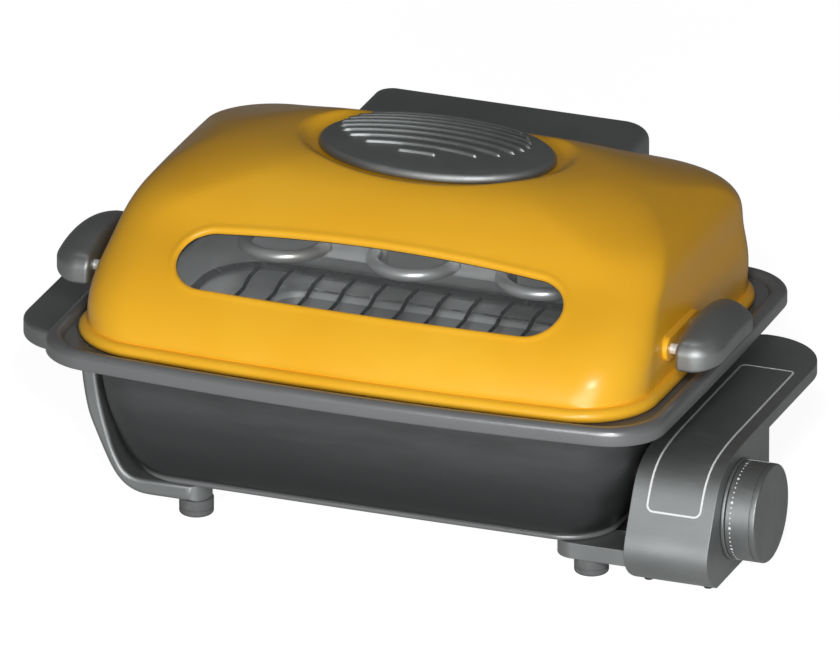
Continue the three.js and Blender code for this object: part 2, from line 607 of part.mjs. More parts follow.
// Upper heater: three front bends, and two tails through the back of the lid.
const loopLegs = [-1, 0, 1].flatMap((loop) => [loop * loopPitch - loopRadius, loop * loopPitch + loopRadius]);
const backRadius = (loopPitch - 2 * loopRadius) / 2;
const upperCorners = loopLegs.flatMap((x, i) => {
  const last = i === loopLegs.length - 1, inner = (i === 0 ? tailRun : 0) + loopBackY;
  const back = [x, i === 0 || last ? loopBackY + tailRun : inner, i === 0 || last ? tailBend : backRadius * tightShare];
  const front = [x, loopFrontY, loopRadius * tightShare];
  return i % 2 ? [front, back] : [back, front];
});
const upperPath = rounding(
  [[-tailX, tailEnd, 0], [-tailX, loopBackY + tailRun, tailBend], ...upperCorners,
    [tailX, loopBackY + tailRun, tailBend], [tailX, tailEnd, 0]],
  upperZ,
);
add("upper_heater", bar(upperPath, up, tubeRadius, tubeSides), materials.heater);
for (const [name, side] of [["left", -1], ["right", 1]]) {
  const legs = side < 0 ? [loopLegs[1], loopLegs[2]] : [loopLegs[3], loopLegs[4]];
  const margin = tubeRadius + hangerMargin;
  const strap = box(
    legs[0] - margin, legs[1] + margin, hangerY - hangerThickness / 2, hangerY + hangerThickness / 2,
    upperZ - margin, lidTop,
  ).intersect(linerVolume(sheet + fit, linerBase));
  const holes = union(
    legs.map((x) => rod("y", tubeRadius + play, hangerY - pierce, hangerY + pierce, x, upperZ)),
  );
  add("heater_hanger_" + name, strap.subtract(holes), materials.steel);
}

// Vent: a slotted filter on the recess floor, and a domed cap with arc ribs over it.
const plateOf = (length, depth, from, to) =>
  loft([ellipse(length / 2, depth / 2, ventY, from), ellipse(length / 2, depth / 2, ventY, to)]);
const seatZ = recessFloor + fit;
const slots = Array.from({ length: filterSlots }, (_, i) => {
  const x = (i - (filterSlots - 1) / 2) * filterPitch, half = (filterDepth * filterSlotShare) / 2;
  const lean = Math.sqrt(1 - (x / (filterLength / 2)) ** 2);
  return box(
    x - filterSlotWidth / 2, x + filterSlotWidth / 2, ventY - half * lean, ventY + half * lean,
    seatZ - pierce, seatZ + filterThickness + pierce,
  );
});
add(
  "vent_filter",
  plateOf(filterLength, filterDepth, seatZ, seatZ + filterThickness).subtract(union(slots)),
  materials.steel,
);
const capRings = [[0, 0], [0, capEdge], [capCurl, capEdge + capCrown * 0.42]];
const capDome = (inset, lift) =>
  loft([
    ...capRings.map(([curl, z]) => [capLength / 2 - curl - inset, capDepth / 2 - curl - inset, z]),
    [(capLength / 2) * 0.82 - inset, (capDepth / 2) * 0.82 - inset, capEdge + capCrown * 0.8],
    [(capLength / 2) * 0.4, (capDepth / 2) * 0.4, capEdge + capCrown],
  ].map(([a, b, z], i) => ellipse(a, b, ventY, seatZ + z + (i ? lift : Math.min(lift, 0)))));
const ribs = ribLengthShares.map((share, i) => {
  const half = (share * capLength) / 2, end = ventY + ribFirstY + ribPitch * i;
  const open = Math.asin(half / ribBend), centre = end - ribBend * Math.cos(open);
  const arc = (radius) =>
    Array.from({ length: bendSteps + 1 }, (_, step) => {
      const angle = open * ((2 * step) / bendSteps - 1);
      return [radius * Math.sin(angle) - ribShift, centre + radius * Math.cos(angle)];
    });
  const pairs = [...arc(ribBend + ribWidth / 2), ...arc(ribBend - ribWidth / 2).reverse()];
  return prism("z", pairs, seatZ + capEdge, lidTop + capCrown + recessDrop);
});
add(
  "vent_cap",
  capDome(0, 0).add(union(ribs).intersect(capDome(0, ribRise))).subtract(capDome(capWall, -capWall)),
  materials.plastic,
);

// Lid handles on pairs of posts.
const handleInner = lidFace + handleGap, handleTop = postZ - handleDrop + handleThickness / 2;
for (const [name, side] of [["left", -1], ["right", 1]]) {
  const ring = (inset, z) => {
    const edge = Math.max(handleEdge - inset, fit);
    return rounded(
      handleInner + inset, handleInner + handleReach - inset,
      handleY - handleSpan / 2 + inset, handleY + handleSpan / 2 - inset,
      [edge, handleCorner - inset, handleCorner - inset, edge],
    ).map(([x, y]) => new THREE.Vector3(side * x, y, z));
  };
  const body = loft([
    ring(handleEdge, handleTop - handleThickness),
    ring(0, handleTop - handleThickness + handleEdge),
    ring(0, handleTop - handleEdge),
    ring(handleEdge * 0.6, handleTop),
    ring(handleCrown * 2, handleTop + handleCrown),
  ]);
  const bores = [postFrontY, postRearY].map((y) =>
    rod("x", postRadius + fit, ...alongX(side, handleInner - pierce, handleInner + postBore), y, postZ),
  );
  add("lid_handle_" + name, body.subtract(union(bores)), materials.plastic);
  for (const [place, y] of [["front", postFrontY], ["rear", postRearY]]) {
    const span = alongX(side, lidFace - lidWall - postInside, handleInner + postBore - fit);
    add("handle_post_" + place + "_" + name, rod("x", postRadius, ...span, y, postZ, cornerSteps * 3), materials.chrome);
  }
}

// Rear housing on the lid over the heater's tails, with a cover, a terminal block and two hinge arms.
const rearBottom = lidBase + beadHeight + loose;
const rearRoof = ledge + rearTop;
const rearRing = (inset, z) =>
  rounded(
    rearShift - rearWidth / 2 + inset, rearShift + rearWidth / 2 - inset, rearFront, rearBack - inset,
    [0, 0, rearCorner, rearCorner],
  ).map(([x, y]) => new THREE.Vector3(x, y, z));
const rearBlock = loft([
  rearRing(0, rearBottom),
  ...[0, 1, 2, 3].map((step) => {
    const angle = (step * Math.PI) / 6;
    return rearRing(rearEdge * (1 - Math.cos(angle)), rearRoof - rearEdge * (1 - Math.sin(angle)));
  }),
]);
const coverHalf = rearWidth / 2 - coverMargin, coverFloor = rearBottom + rearWall, coverRoof = rearRoof - rearEdge;
const screwHole = (x, y, from, to) => rod("z", screwRadius + fit, from, to, x, y, cornerSteps * 2);
const screw = (name, x, y, top, length) => {
  const head = rod("z", screwHeadRadius, top - screwHead, top, x, y, cornerSteps * 2);
  add(name, head.add(rod("z", screwRadius, top - screwHead / 2, top + length, x, y, cornerSteps * 2)), materials.steel);
};
const armX = hingeX - hingeWidth / 2 - fit - armPlate, armScrewX = armX - armFlange / 2 + armPlate / 2;
const armScrews = [-1, 1].map((side) =>
  screwHole(side * armScrewX, hingeY, hingeZ, rearBottom + rearWall + pierce),
);
const rearCavity = box(-coverHalf, coverHalf, rearFront, rearBack + pierce, coverFloor, coverRoof).subtract(
  lidVolume(-fit - rearWall, lidBase),
);
add(
  "rear_housing",
  rearBlock
    .subtract(lidVolume(-fit, lidBase - pierce))
    .subtract(rearCavity)
    .subtract(heaterHoles(rearFront, tailEnd - loose))
    .subtract(union(armScrews)),
  materials.plastic,
);
add(
  "rear_housing_cover",
  box(
    -coverHalf + fit, coverHalf - fit, rearBack - coverThickness, rearBack, coverFloor + fit, coverRoof - fit,
  ),
  materials.plastic,
);
add(
  "upper_terminal_block",
  box(
    -rearBlockWidth / 2, rearBlockWidth / 2, rearBlockY - rearBlockDepth / 2, rearBlockY + rearBlockDepth / 2,
    coverFloor + fit, coverFloor + fit + rearBlockHeight,
  ),
  materials.ceramic,
);
const rimBand = loft([panRing(-fit, rimBottom - beadHeight), panRing(-fit, rimTop + beadHeight)]);
for (const [name, side] of [["left", -1], ["right", 1]]) {
  const xs = (from, to) => alongX(side, from, to);
  const pinHole = rod("x", hingePinRadius + fit, ...xs(armX - pierce, hingeX + hingeWidth), hingeY, hingeZ);
  const knuckle = (from, to) => rod("x", hingeKnuckle, ...xs(from, to), hingeY, hingeZ);
  const block = (x0, x1, y0, y1, z0, z1) => box(...xs(x0, x1), y0, y1, z0, z1);
  const outer = hingeX + hingeWidth / 2, inner = hingeX - hingeWidth / 2;
  const plateBack = rimDepth / 2 + bracketPlate, foot = rearBottom - fit;
  const screwX = hingeX + bracketFlange - hingeKnuckle / 2;
  const backHole = rod("y", screwRadius + fit, rimDepth / 2 - rimWidth, plateBack + pierce, side * screwX, hingeZ);
  const bracket = union([
    knuckle(inner, outer),
    block(inner, outer, rimDepth / 2 - rimWidth, hingeY, hingeZ - hingeBite, hingeZ + hingeBite),
    block(inner, screwX + hingeBite, rimDepth / 2 - rimWidth, plateBack, hingeZ - hingeBite, hingeZ + hingeBite),
  ]);
  add("hinge_bracket_" + name, bracket.subtract(rimBand).subtract(pinHole).subtract(backHole), materials.steel);
  const arm = union([
    knuckle(armX, armX + armPlate),
    block(armX, armX + armPlate, hingeY - hingeKnuckle, hingeY + hingeKnuckle, hingeZ, foot),
    block(
      armX + armPlate - armFlange, armX + armPlate, hingeY - hingeKnuckle, hingeY + hingeKnuckle,
      foot - armFlangeThickness, foot,
    ),
  ]);
  const armHole = screwHole(side * armScrewX, hingeY, foot - armFlangeThickness - pierce, foot + pierce);
  add("hinge_arm_" + name, arm.subtract(pinHole).subtract(armHole), materials.steel);
  const pinHeadAt = rod("x", pinHeadRadius, ...xs(outer + fit, outer + fit + pinHead), hingeY, hingeZ);
  const pinBody = rod("x", hingePinRadius, ...xs(armX - loose, outer + fit + pinHead / 2), hingeY, hingeZ);
  add("hinge_pin_" + name, pinHeadAt.add(pinBody), materials.chrome);
  screw("hinge_arm_screw_" + name, side * armScrewX, hingeY, foot - armFlangeThickness - fit, armFlangeThickness + rearWall);
  const headY = plateBack + fit;
  const rimScrewHead = rod("y", screwHeadRadius, headY, headY + screwHead, side * screwX, hingeZ, cornerSteps * 2);
  const shankY = rimDepth / 2 - rimWidth + hingeBite;
  const rimScrewBody = rod("y", screwRadius, shankY, headY + screwHead / 2, side * screwX, hingeZ, cornerSteps * 2);
  add("hinge_bracket_screw_" + name, rimScrewHead.add(rimScrewBody), materials.steel);
}

// Left stand: a leg that follows the pan's wall, two arms under the pan, a sole between them and the wing.
const footY = footSpread / 2;
const legInner = wallLevels.slice(0, -1).map(([inset, z]) => [-(rimLength / 2 - inset + legClearance), z]);
const legOuter = legInner.map(([x, z]) => [x - legThickness, z]);
const [toeX, toeZ] = legOuter[0], heelX = toeX + (legThickness + armThickness + legClearance);
const toe = [0.25, 0.5, 0.75, 1].map((share) => {
  const angle = (share * Math.PI) / 2;
  return [heelX - (heelX - toeX) * Math.cos(angle), toeZ - (toeZ - armBottom) * Math.sin(angle)];
});
const soleEnd = legInner[0][0] + soleReach;
const legSection = [
  ...legInner.slice().reverse(),
  [legInner[0][0], armTop],
  [legInner[0][0] + toeSlope, armBottom + soleThickness],
  [soleEnd, armBottom + soleThickness],
  [soleEnd, armBottom],
  ...toe.slice().reverse(),
  ...legOuter,
  [legOuter.at(-1)[0], legTop],
  [legInner.at(-1)[0], legTop],
];
const armStrips = (x0, x1, radii) =>
  [-1, 1].map((side) => {
    const [y0, y1] = [(side * legDepth) / 2, side * (legDepth / 2 - armWidth)].sort((a, b) => a - b);
    return prism("z", rounded(x0, x1, y0, y1, radii), armBottom, armTop);
  });
const pegHoles = (x) =>
  union(
    [-footY, footY].map((y) =>
      rod("z", footPegRadius + fit, armBottom - pierce, footHeight + footPegHeight + fit, x, y, tubeSides * 2),
    ),
  );
const baseScrewHoles = (x) =>
  union([-baseScrewY, baseScrewY].map((y) => screwHole(x, y, armBottom - pierce, panBase)));
const leftScrewX = soleEnd - baseScrewInset, rightScrewX = housingArmEnd + 2 * baseScrewInset;
const wing = prism(
  "z",
  rounded(
    -rimEndX - wingReach, legInner.at(-1)[0], -wingSpan / 2, wingSpan / 2, [wingCorner, 0, 0, wingCorner],
  ),
  legTop - wingThickness, legTop,
);
add(
  "left_stand",
  union([
    prism("y", legSection, -legDepth / 2, legDepth / 2),
    wing,
    ...armStrips(heelX, armInset - rimEndX, [0, armRound, armRound, 0]),
  ]).subtract(pegHoles(-leftFootX)).subtract(baseScrewHoles(leftScrewX)),
  materials.plastic,
);
const feet = [
  ["front_left", -leftFootX, -footY], ["front_right", rightFootX, -footY],
  ["rear_left", -leftFootX, footY], ["rear_right", rightFootX, footY],
];
for (const [name, x, y] of feet) {
  const pad = rod("z", footRadius, 0, footHeight, x, y);
  const peg = rod("z", footPegRadius, footHeight / 2, footHeight + footPegHeight, x, y, tubeSides * 2);
  add("foot_" + name, pad.add(peg), materials.rubber);
}

// Control housing: a hollow body with a curved front, a side panel by the pan, two arms and the rear wing.
const housingHeight = housingTop - housingBottom;
const frontCurve = housingFrontShares.map((share, i) => [
  -housingFront * share, housingBottom + housingHeight * housingHeightShares[i],
]);
const bodySection = [[housingBack, housingTop], ...frontCurve, [housingBack, housingBottom]];
const middleOfBody = [-housingFront / 2, housingBottom + housingHeight / 2];
const shrink = bodySection.map(([y, z]) => {
  const share = (value, middle, reach) => middle + (value - middle) * (1 - housingWall / reach);
  return [
    share(y, middleOfBody[0], (housingFront + housingBack) / 2),
    share(z, middleOfBody[1], housingHeight / 2),
  ];
});
const caveInner = housingInner + panelThickness, caveOuter = housingOuter - housingWall;
const bottomOpening = [caveInner, caveOuter, -coverFront, -coverBack];
const pillars = [caveInner + bossInset, caveOuter - bossInset].flatMap((x) =>
  [-coverFront + bossInset, -coverBack - bossInset].map((y) => [x, y]),
);
const pillarBase = housingBottom + bottomCoverThickness + fit;
const housingShell = union([
  prism("x", bodySection, housingInner, housingOuter),
  prism(
    "z",
    rounded(
      housingInner, housingOuter, -rearWingInnerCorner, rearWingY,
      [0, 0, rearWingCorner, rearWingInnerCorner],
    ),
    housingTop - rearWingThickness, housingTop,
  ),
  box(housingInner, caveInner, -legDepth / 2, legDepth / 2, armBottom, housingTop),
  ...armStrips(housingArmEnd, caveInner, [armRound, 0, 0, armRound]),
  box(
    housingArmEnd + baseScrewInset, caveInner, -basePlateDepth / 2 - fit, basePlateDepth / 2 + fit,
    armBottom, armBottom + soleThickness,
  ),
]);
const cave = prism("x", shrink, caveInner, caveOuter).add(
  box(...bottomOpening, housingBottom - pierce, housingBottom + 2 * housingWall),
);
const boreOf = (from, to) => rod("x", shaftRadius + play, from, to, dialY, dialZ);
const inletBox = (grow, y0, y1) =>
  box(
    inletX - inletWidth / 2 - grow, inletX + inletWidth / 2 + grow, y0, y1,
    inletZ - inletHeight / 2 - grow, inletZ + inletHeight / 2 + grow,
  );
add(
  "control_housing",
  housingShell
    .subtract(cave)
    .add(union(pillars.map(([x, y]) => rod("z", bossRadius, pillarBase, pillarBase + pillarHeight, x, y))))
    .subtract(union(pillars.map(([x, y]) => screwHole(x, y, housingBottom, pillarBase + screwLength))))
    .subtract(boreOf(caveOuter - pierce, housingOuter + pierce))
    .subtract(inletBox(fit, -inletDepth, housingBack + pierce))
    .subtract(tailHoles)
    .subtract(pegHoles(rightFootX))
    .subtract(baseScrewHoles(rightScrewX)),
  materials.plastic,
);
const coverSlots = Array.from({ length: bottomSlots }, (_, i) => {
  const y = (-coverFront - coverBack) / 2 + (i - (bottomSlots - 1) / 2) * bottomSlotPitch;
  const half = ((caveOuter - caveInner) * slotShare) / 2, x = (caveInner + caveOuter) / 2;
  return box(
    x - half, x + half, y - bottomSlotWidth / 2, y + bottomSlotWidth / 2,
    housingBottom - pierce, pillarBase + pierce,
  );
});
const coverHoles = pillars.map(([x, y]) => screwHole(x, y, housingBottom - pierce, pillarBase));
add(
  "housing_cover",
  box(
    caveInner + fit, caveOuter - fit, -coverFront + fit, -coverBack - fit,
    housingBottom, housingBottom + bottomCoverThickness,
  ).subtract(union([...coverSlots, ...coverHoles])),
  materials.plastic,
);
pillars.forEach(([x, y], i) => screw("cover_screw_" + (i + 1), x, y, housingBottom - fit, screwLength));

// Base plate under the pan, screwed to both soles.
const plateZ = armBottom + soleThickness + fit;
const plateLeft = legInner[0][0] + basePlateMargin, plateRight = housingInner - basePlateMargin;
add(
  "base_plate",
  box(
    plateLeft, plateRight, -basePlateDepth / 2, basePlateDepth / 2, plateZ, plateZ + basePlateThickness,
  ).subtract(baseScrewHoles(leftScrewX)).subtract(baseScrewHoles(rightScrewX)),
  materials.steel,
);
for (const [name, x] of [["left", leftScrewX], ["right", rightScrewX]])
  for (const [place, y] of [["front", -baseScrewY], ["rear", baseScrewY]])
    screw("base_screw_" + place + "_" + name, x, y, armBottom - fit, baseScrewLength);

// Inside the housing: heat shield, terminal block, timer and power inlet.
const shieldX = caveInner + fit;
add(
  "heat_shield",
  box(
    shieldX, shieldX + shieldThickness, -shieldFront, -shieldFront + shieldDepth,
    shieldBottom, shieldBottom + shieldHeight,
  ).subtract(tailHoles),
  materials.steel,
);
const blockX = shieldX + shieldThickness + fit;
add(
  "terminal_block",
  box(
    blockX, blockX + blockWidth, blockY - blockDepth / 2, blockY + blockDepth / 2,
    blockZ - blockHeight / 2, blockZ + blockHeight / 2,
  ),
  materials.ceramic,
);
const timerOuter = caveOuter - fit, timerInner = timerOuter - timerDepth;
add(
  "timer_body",
  box(
    timerInner, timerOuter, dialY - timerWidth / 2, dialY + timerWidth / 2,
    dialZ - timerHeight / 2, dialZ + timerHeight / 2,
  ).subtract(boreOf(timerOuter - shaftBite, timerOuter + pierce)),
  materials.steel,
);
add(
  "power_inlet",
  inletBox(0, housingBack - inletDepth, housingBack + inletFlange)
    .add(inletBox(inletMargin, housingBack + fit, housingBack + fit + inletFlange))
    .subtract(inletBox(-inletMargin, housingBack + inletFlange - pinCavity, housingBack + 2 * inletMargin)),
  materials.plastic,
);

// Dial on the outer side: a bezel disc, the knob with its face disc, and the shaft into the timer.
const bezelX = housingOuter + fit, knobX = bezelX + bezelThickness + fit, knobEnd = knobX + knobLength;
add(
  "dial_bezel",
  rod("x", bezelRadius, bezelX, bezelX + bezelThickness, dialY, dialZ, roundSteps * 2).subtract(
    boreOf(bezelX - pierce, knobX + pierce),
  ),
  materials.plastic,
);
const disc = (radius, x) =>
  ellipse(radius, radius, 0, 0).map((p) => new THREE.Vector3(x, dialY + p.x, dialZ + p.y));
const knobSkin = loft([
  disc(knobRadius, knobX), disc(knobRadius, knobEnd - knobChamfer), disc(knobRadius - knobChamfer, knobEnd),
]);
const knobHollow = rod("x", knobRadius - knobWall, knobX - pierce, knobEnd - 2 * knobWall, dialY, dialZ);
const hub = rod("x", hubRadius, knobX, knobEnd - knobWall, dialY, dialZ);
const faceSeat = rod("x", capDiscRadius + fit, knobEnd - capDiscThickness, knobEnd + pierce, dialY, dialZ);
const shaftEnd = knobEnd - 2 * knobWall;
add(
  "knob",
  knobSkin.subtract(knobHollow).add(hub).subtract(faceSeat).subtract(
    rod("x", shaftRadius + fit, knobX - pierce, shaftEnd + fit, dialY, dialZ),
  ),
  materials.plastic,
);
add(
  "knob_face",
  rod("x", capDiscRadius, knobEnd - capDiscThickness + fit, knobEnd - fit, dialY, dialZ),
  materials.plastic,
);
add("knob_shaft", rod("x", shaftRadius, timerOuter - shaftBite + fit, shaftEnd, dialY, dialZ), materials.brass);

// Puts the middle of the footprint at the origin.
const bounds = new THREE.Box3().setFromObject(roaster);
const centre = bounds.getCenter(new THREE.Vector3());
roaster.position.set(-centre.x, -centre.y, -bounds.min.z);

export default roaster;
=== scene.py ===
# %% [markdown]
# A table-top electric fish roaster: a bowed pan on a stand, a domed lid with a wide window, handles at both
# ends, a vent cap on top and a control housing with a timer dial on the right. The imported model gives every
# piece its place and size. This script gives the pieces the smooth skins and the finishes of the real thing.

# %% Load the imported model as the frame
import math

import bmesh
import bpy
import numpy as np
from mathutils import Matrix, Vector


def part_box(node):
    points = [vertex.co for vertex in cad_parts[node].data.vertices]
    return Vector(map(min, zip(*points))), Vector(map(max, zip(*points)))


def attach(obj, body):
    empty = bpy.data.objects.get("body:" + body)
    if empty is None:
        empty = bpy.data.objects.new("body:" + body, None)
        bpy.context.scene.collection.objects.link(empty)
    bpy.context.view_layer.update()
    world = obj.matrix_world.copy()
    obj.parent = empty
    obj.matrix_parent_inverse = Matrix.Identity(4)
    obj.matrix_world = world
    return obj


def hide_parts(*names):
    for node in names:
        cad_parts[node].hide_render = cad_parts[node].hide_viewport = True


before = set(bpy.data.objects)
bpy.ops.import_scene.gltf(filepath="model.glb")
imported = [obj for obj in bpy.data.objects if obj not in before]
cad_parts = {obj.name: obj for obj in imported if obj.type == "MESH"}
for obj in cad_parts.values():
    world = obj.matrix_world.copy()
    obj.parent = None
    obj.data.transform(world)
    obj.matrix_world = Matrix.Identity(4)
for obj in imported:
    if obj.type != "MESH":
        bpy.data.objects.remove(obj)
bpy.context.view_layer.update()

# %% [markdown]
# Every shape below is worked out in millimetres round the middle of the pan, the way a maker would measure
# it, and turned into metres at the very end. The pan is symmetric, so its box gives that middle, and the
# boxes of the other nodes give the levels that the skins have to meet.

MM, LID_GAP = 0.001, 0.25
pan_low, pan_high = (np.array(corner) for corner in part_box("outer_pan"))
PAN_CENTRE = np.array([(pan_low[0] + pan_high[0]) / 2, (pan_low[1] + pan_high[1]) / 2, 0.0])


def span(node):
    """Lowest and highest corner of a CAD node, in millimetres from the pan's middle."""
    return tuple((np.array(corner) - PAN_CENTRE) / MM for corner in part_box(node))


rim_low, rim_high = span("outer_pan")
lid_low, _ = span("lid_shell")
PAN_BASE, RIM_TOP, LID_BASE = rim_low[2], rim_high[2], lid_low[2]
LEDGE = LID_BASE - LID_GAP
print("pan middle", PAN_CENTRE, "rim top", RIM_TOP, "lid base", LID_BASE)

# %% [markdown]
# A smooth shell needs smooth profiles. A natural cubic spline passes through a handful of chosen points with
# no kink, which is what pressed sheet does. Writing it as weights on the points, rather than as a curve
# object, lets whole grids be worked out in one matrix product.


# %% Splines and rounded corners
def spline_weights(knots, t):
    """Share of every knot's value at each t on a natural cubic spline: between knots a and b the value is
    a y0 + b y1 + ((a^3 - a) m0 + (b^3 - b) m1) h^2 / 6, where the bends m balance
    h0 m0 + 2 (h0 + h1) m1 + h1 m2 against six times the change of slope."""
    count, h = len(knots), np.diff(knots)
    inner = np.arange(1, count - 1)
    left, right = np.eye(count), np.zeros((count, count))
    left[inner, inner - 1], left[inner, inner], left[inner, inner + 1] = h[:-1], 2 * (h[:-1] + h[1:]), h[1:]
    right[inner, inner - 1], right[inner, inner + 1] = 6 / h[:-1], 6 / h[1:]
    right[inner, inner] = -6 / h[:-1] - 6 / h[1:]
    bends = np.linalg.solve(left, right)
    t = np.atleast_1d(t)
    at = np.clip(np.searchsorted(knots, t) - 1, 0, count - 2)
    step = h[at]
    b = (t - knots[at]) / step
    a = 1 - b
    straight = np.zeros((len(t), count))
    straight[np.arange(len(t)), at], straight[np.arange(len(t)), at + 1] = a, b
    curved = (a**3 - a)[:, None] * bends[at] + (b**3 - b)[:, None] * bends[at + 1]
    return straight + curved * (step**2 / 6)[:, None]


def smooth_line(points, count):
    """count points, evenly spaced by chord length, on a natural spline through a few points."""
    points = np.asarray(points, float)
    knots = np.r_[0, np.cumsum(np.linalg.norm(np.diff(points, axis=0), axis=1))]
    return spline_weights(knots, np.linspace(0, knots[-1], count)) @ points


def unit(vector):
    return vector / np.linalg.norm(vector, axis=-1, keepdims=True)


def fillet(corners, steps=8, loop=False):
    """A line of (a, b, radius) corners with each corner swapped for an arc that touches both sides. The arc
    starts radius / tan(half) before the corner, where half is half the angle between the two sides."""
    line = []
    for i, (a, b, radius) in enumerate(corners):
        here = np.array([a, b], float)
        if radius == 0 or (not loop and i in (0, len(corners) - 1)):
            line.append(here[None])
            continue
        before = unit(np.array(corners[i - 1][:2]) - here)
        after = unit(np.array(corners[(i + 1) % len(corners)][:2]) - here)
        half = math.acos(np.clip(before @ after, -1, 1)) / 2
        middle = here + unit(before + after) * radius / math.sin(half)
        start = here + before * radius / math.tan(half) - middle
        side = -np.sign(before[0] * after[1] - before[1] * after[0])
        angle = side * (math.pi - 2 * half) * np.linspace(0, 1, steps + 1)
        c, s = np.cos(angle), np.sin(angle)
        line.append(middle + np.stack([start[0] * c - start[1] * s, start[0] * s + start[1] * c], -1))
    return np.concatenate(line)


def rounded(a0, a1, b0, b1, radii, steps=8):
    """Rectangle with its own radius at each corner: lower left, lower right, upper right, upper left."""
    ends = [(a0, b0), (a1, b0), (a1, b1), (a0, b1)]
    return fillet([(a, b, radius) for (a, b), radius in zip(ends, radii)], steps, loop=True)


# %% [markdown]
# The pan, the tray and the lid share one plan: a rectangle with round corners whose long sides bow outwards.
# One function draws it. Its parameter, turn, runs from 0 to 4, and the same turn on two outlines gives
# matching points, so skins between outlines never twist.

# %% The bowed outline
ARC_SHARE = 0.3
CORNER_SIGNS = np.array([[1, 1], [-1, 1], [-1, -1], [1, -1]])
PLAN_ARC, PLAN_LONG, PLAN_SHORT = 18, 76, 44


def turns(arc_steps=PLAN_ARC, long_steps=PLAN_LONG, short_steps=PLAN_SHORT):
    """Values of turn round a closed outline: in each unit a corner's arc, then a straight side."""
    rows = []
    for quarter in range(4):
        side_steps = short_steps if quarter % 2 else long_steps
        rows.append(quarter + ARC_SHARE * np.arange(arc_steps) / arc_steps)
        rows.append(quarter + ARC_SHARE + (1 - ARC_SHARE) * np.arange(side_steps) / side_steps)
    return np.concatenate(rows)


def outline(turn, half, front, back, corner, bow=0.0, side_bow=0.0):
    """Corner arcs x = cx + r cos a, y = cy + r sin a joined by straight sides, then drawn in towards the
    ends of each side: x (1 - side_bow / half (y / depth)^2) and y (1 - bow / depth (x / half)^2)."""
    depth, middle = (front + back) / 2, (back - front) / 2
    quarter = np.floor(turn).astype(int) % 4
    part = turn - np.floor(turn)
    sx, sy = CORNER_SIGNS[quarter].T
    angle = (quarter + np.minimum(part / ARC_SHARE, 1)) * np.pi / 2
    x = sx * (half - corner) + corner * np.cos(angle)
    y = sy * (depth - corner) + corner * np.sin(angle)
    share = np.clip((part - ARC_SHARE) / (1 - ARC_SHARE), 0, 1)
    x = np.where(quarter % 2 == 0, x * (1 - 2 * share), x)
    y = np.where(quarter % 2 == 0, y, y * (1 - 2 * share))
    return x * (1 - side_bow / half * (y / depth) ** 2), y * (1 - bow / depth * (x / half) ** 2) + middle


def at_height(x, y, z):
    """Points from x and y, all at one height or with one height for each row."""
    return np.stack([x, y, np.broadcast_to(z, x.shape)], -1)


def oval(half_x, half_y, y, z, steps=160):
    """Ellipse x = a cos t, y = b sin t at one height."""
    t = np.arange(steps) / steps * 2 * np.pi
    return at_height(half_x * np.cos(t), y + half_y * np.sin(t), z)


# %% [markdown]
# Three ways of turning lines into surfaces cover almost the whole roaster: a skin between rings, a flat
# section drawn out along an axis, and a round bar along a path. Turned pieces are skins between circles.
# Moulded pieces need soft rims, so a section can also be drawn in step by step towards its ends. Each
# function only returns points and faces, so shapes can be combined before a mesh is made.


# %% Skins, prisms, bars and turned pieces
def skin(rings, wrap=True, loop=False, first=False, last=False):
    """Quads between neighbouring rings. wrap closes each ring, loop joins the last ring to the first, and
    first and last close an end with one flat face."""
    rings = np.asarray(rings, float)
    index = np.arange(rings.shape[0] * rings.shape[1]).reshape(rings.shape[:2])
    low, high = (index, np.roll(index, -1, 0)) if loop else (index[:-1], index[1:])
    if wrap:
        faces = np.stack([low, np.roll(low, -1, 1), np.roll(high, -1, 1), high], -1)
    else:
        faces = np.stack([low[:, :-1], low[:, 1:], high[:, 1:], high[:, :-1]], -1)
    faces = faces.reshape(-1, 4).tolist()
    if first:
        faces.append(index[0][::-1].tolist())
    if last:
        faces.append(index[-1].tolist())
    return rings.reshape(-1, 3), faces


def lay(axis, a, b, along):
    """Points from two section coordinates and the place along an axis: y, z for x; x, z for y; x, y for z."""
    a, b, along = np.broadcast_arrays(a, b, along)
    return np.stack({"x": (along, a, b), "y": (a, along, b), "z": (a, b, along)}[axis], -1).astype(float)


def prism(axis, section, start, end):
    """A closed flat section drawn out along an axis, with flat ends."""
    section = np.asarray(section, float)
    return skin([lay(axis, *section.T, at) for at in (start, end)], first=True, last=True)


def spaced(section, step):
    """A closed section with points added so that none of its edges is longer than a step."""
    section = np.asarray(section, float)
    points = []
    for start, end in zip(section, np.roll(section, -1, 0)):
        count = max(1, math.ceil(np.linalg.norm(end - start) / step))
        points.append(start + (end - start) * np.arange(count)[:, None] / count)
    return np.concatenate(points)


def drawn_in(section, inset):
    """A closed section moved inwards. Each corner goes along (a + b) / (1 + a . b) of its two normals."""
    section = np.asarray(section, float)
    ahead = unit(np.roll(section, -1, 0) - section)
    area = np.sum(section[:, 0] * np.roll(section[:, 1], -1) - section[:, 1] * np.roll(section[:, 0], -1))
    after = np.stack([ahead[:, 1], -ahead[:, 0]], -1) * np.sign(area)
    before = np.roll(after, 1, 0)
    return section - inset * (before + after) / (1 + (before * after).sum(-1, keepdims=True))


def eased(axis, section, start, end, at_start, at_end, steps=6):
    """A prism with rounded rims: at an angle t round the edge a ring is drawn in by r (1 - sin t) and lies
    r (1 - cos t) from the end."""
    section = np.asarray(section, float)
    section = section[np.linalg.norm(section - np.roll(section, 1, 0), axis=1) > 1e-6]
    t = np.linspace(0, np.pi / 2, steps + 1)
    opening, closing = (t if at_start else t[-1:]), (t[::-1] if at_end else t[-1:])
    rows = [(at_start * (1 - np.sin(a)), start + at_start * (1 - np.cos(a))) for a in opening]
    rows += [(at_end * (1 - np.sin(a)), end - at_end * (1 - np.cos(a))) for a in closing]
    return skin([lay(axis, *drawn_in(section, inset).T, at) for inset, at in rows], first=True, last=True)


